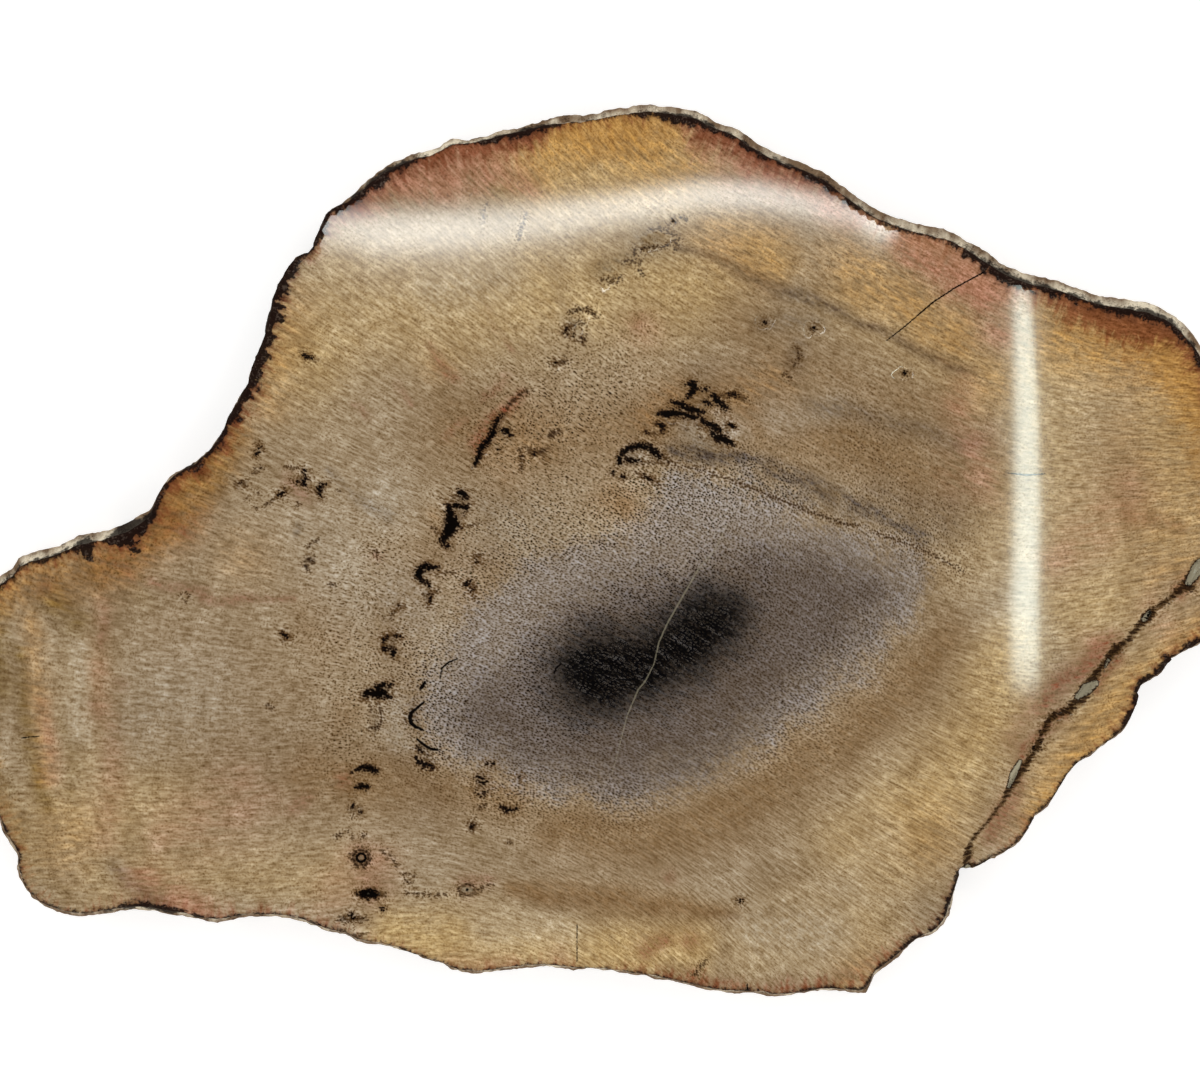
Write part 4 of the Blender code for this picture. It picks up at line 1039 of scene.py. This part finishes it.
# The rind is chalky outside and blackened next to the face; only the level face has a polish
grooves = cloud(vector_of(circle_x * 0.55, circle_y * 0.55, height * 0.09), 1.0, 3, "3D")
mottle = cloud(vector_of(circle_x * 0.2, circle_y * 0.2, height * 0.16), 1.0, 2, "3D")
grit = cloud(spot, 2.2, 2, "3D")
rind_pale = rind_pale * (0.4 + ramp(height, 5.0, 10.0) * 0.8)
rind_tint = mixed(ramp(rind_pale + mottle * 0.8 + grooves * 0.6, 0.15, 1.0), RIND_DARK, RIND_PALE)
rind_tint = mixed(ramp(grit + grooves, 0.0, 0.6) * 0.6, rind_tint, UMBER)
rind_tint = mixed(ramp(grit - grooves, 0.15, 0.5) * 0.75, rind_tint, MARK_BROWN)
rind_tint = mixed(ramp(depth + reach * 0.65 + lumps * 1.8 + grit * 0.7, -0.5, 0.4) * 0.92, rind_tint, CRUST)
walled = ramp(wall_skin, 0.3, 0.8)
opened = ramp(split, 0.0, -0.4)
relief = (rope + crumbs) * opened * 0.22 + walled * (grit * 0.12 + grooves * 0.25) + back_skin * saw * 0.04
bumped = Wire.node("ShaderNodeBump", {}, {"Strength": 1.0, "Distance": MM, "Height": relief})
stone_dull = Wire.node("ShaderNodeBsdfPrincipled", {},
                       {"Base Color": mixed(walled, tint, rind_tint), "Roughness": 0.85,
                        "Specular IOR Level": 0.05, "Normal": bumped})
unpolished = ramp(upright, 0.99, 0.975) + ramp(pocket, 0.25, -0.1)
whole = Wire.node("ShaderNodeMixShader", {}, {0: unpolished, 1: stone_face, 2: stone_dull})
Wire.node("ShaderNodeOutputMaterial", {}, {"Surface": whole})
stone_mesh.materials.append(material)

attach(stone, "root")
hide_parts("slab")

# The floor: a plain pale sheet, wider than anything the stone throws light on.
FLOOR_REACH = 3
FLOOR_DROP = 0.0001
floor_mesh = bpy.data.meshes.new("floor")
floor_corners = [(x * FLOOR_REACH, y * FLOOR_REACH, 0) for x, y in ((-1, -1), (1, -1), (1, 1), (-1, 1))]
floor_mesh.from_pydata(floor_corners, [], [(0, 1, 2, 3)])
floor = bpy.data.objects.new("floor", floor_mesh)
bpy.context.collection.objects.link(floor)
floor.location.z = -FLOOR_DROP
paper = bpy.data.materials.new("pale_floor")
paper.use_nodes = True
sheet = paper.node_tree.nodes["Principled BSDF"].inputs
sheet["Base Color"].default_value = (0.62, 0.62, 0.62, 1.0)
sheet["Roughness"].default_value = 0.9
sheet["Specular IOR Level"].default_value = 0.1
sheet["Emission Color"].default_value = (1.0, 1.0, 1.0, 1.0)
sheet["Emission Strength"].default_value = 0.62
floor_mesh.materials.append(paper)

# The camera: straight above the face.
FACE_TO_LENS = 0.88
VIEW_WIDTH = 0.24
FILM_WIDTH = 36.0
ASIDE = (-0.0006, 0.0037)
camera_data = bpy.data.cameras.new("camera")
camera_data.sensor_width = FILM_WIDTH
camera_data.lens = FILM_WIDTH * FACE_TO_LENS / VIEW_WIDTH
camera = bpy.data.objects.new("camera", camera_data)
camera.location = (*ASIDE, THICKNESS * MM + FACE_TO_LENS)
bpy.context.collection.objects.link(camera)
bpy.context.scene.camera = camera
bpy.context.scene.view_settings.view_transform = "Standard"

# The light: a soft bright room with a dark ceiling right above the stone, and two soft lamps overhead,
# a straight one and a bent one, which the polished face mirrors.
ROOM_STRENGTH = 1.28
world = bpy.data.worlds.new("room")
bpy.context.scene.world = world
world.use_nodes = True
world.node_tree.nodes.clear()
Wire.tree = world.node_tree
looking = Wire.node("ShaderNodeTexCoord", out="Generated")
upwards = Wire.node("ShaderNodeSeparateXYZ", {}, {0: looking}).other(2)
bright = ramp(upwards, 0.93, 0.80)
shine = mixed(bright, (0.02, 0.02, 0.022, 1.0), (1.0, 0.99, 0.97, 1.0))
glow = Wire.node("ShaderNodeBackground", {}, {"Color": shine, "Strength": ROOM_STRENGTH})
Wire.node("ShaderNodeOutputWorld", {}, {"Surface": glow})

LAMP_HEIGHT = 0.6
# Where the face mirrors each lamp, with the half width there and the glow along it; then its glow across
STRAIGHT_LAMP = (
    ((1020, 279, 7, 0.0), (1021, 290, 7.5, 0.7), (1023, 320, 8.5, 1.0), (1026, 400, 10, 1.0),
     (1027, 500, 11.5, 1.0), (1025, 600, 12, 1.0), (1025, 650, 12.5, 0.9), (1025, 676, 12, 0.6),
     (1025, 700, 11, 0.0)), ((-1.2, 0.0), (-1.0, 1.0), (0.5, 1.0), (1.0, 0.6), (1.4, 0.0)),
    (0.92, 1.06, 0.99, 1.0), 13.4,
)
BENT_LAMP = (
    ((300, 222, 13, 0.4), (330, 225, 15, 0.8), (380, 231, 17, 1.0), (450, 229, 17, 1.0),
     (500, 224, 16, 0.95), (540, 218, 15, 0.9), (590, 211, 13, 0.95), (640, 203, 12, 1.0),
     (700, 193, 12, 1.0), (760, 194, 11, 1.0), (820, 205, 10, 0.9), (855, 213, 9, 0.85),
     (872, 219, 10, 1.25), (888, 226, 10, 1.25), (900, 232, 8, 0.3)),
    ((-1.8, 0.0), (-1.2, 0.25), (-0.6, 0.8), (0.0, 1.0), (0.7, 0.9), (1.3, 0.5), (2.0, 0.18),
     (3.0, 0.07), (4.2, 0.0)), (0.97, 1.01, 0.99, 1.0), 12.5,
)


def lamp(name, path, profile, tone, strength):
    """A glowing ribbon hung so that the camera sees its mirror image along a path on the face."""
    path = np.array(path)
    ahead = np.gradient(path[:, :2], axis=0)
    ahead /= np.linalg.norm(ahead, axis=1)[:, None]
    side = np.stack((-ahead[:, 1], ahead[:, 0]), axis=1)
    foot = np.array(camera.location[:2])
    corners, glows = [], []
    for place, sideways in zip(path, side):
        for offset, share in profile:
            seen = drawn((*(place[:2] + sideways * place[2] * offset),))[0] * MM
            hung_at = foot + (seen - foot) * (1 + LAMP_HEIGHT / FACE_TO_LENS)
            corners.append((*hung_at, THICKNESS * MM + LAMP_HEIGHT))
            glows.append(place[3] * share)
    across = len(profile)
    starts = [row * across + column for row in range(len(path) - 1) for column in range(across - 1)]
    quads = [(start, start + 1, start + across + 1, start + across) for start in starts]
    mesh = bpy.data.meshes.new(name)
    mesh.from_pydata(corners, [], quads)
    mesh.attributes.new("glow", "FLOAT", "POINT").data.foreach_set("value", glows)
    hung = bpy.data.objects.new(name, mesh)
    bpy.context.collection.objects.link(hung)
    hung.visible_camera = hung.visible_diffuse = hung.visible_shadow = False
    finish = bpy.data.materials.new(name)
    finish.use_nodes = True
    finish.node_tree.nodes.clear()
    Wire.tree = finish.node_tree
    share = Wire.node("ShaderNodeAttribute", {"attribute_name": "glow"}, out="Fac")
    shining = Wire.node("ShaderNodeEmission", {}, {"Color": tone, "Strength": share * strength})
    Wire.node("ShaderNodeOutputMaterial", {}, {"Surface": shining})
    mesh.materials.append(finish)


lamp("straight_lamp", *STRAIGHT_LAMP)
lamp("bent_lamp", *BENT_LAMP)
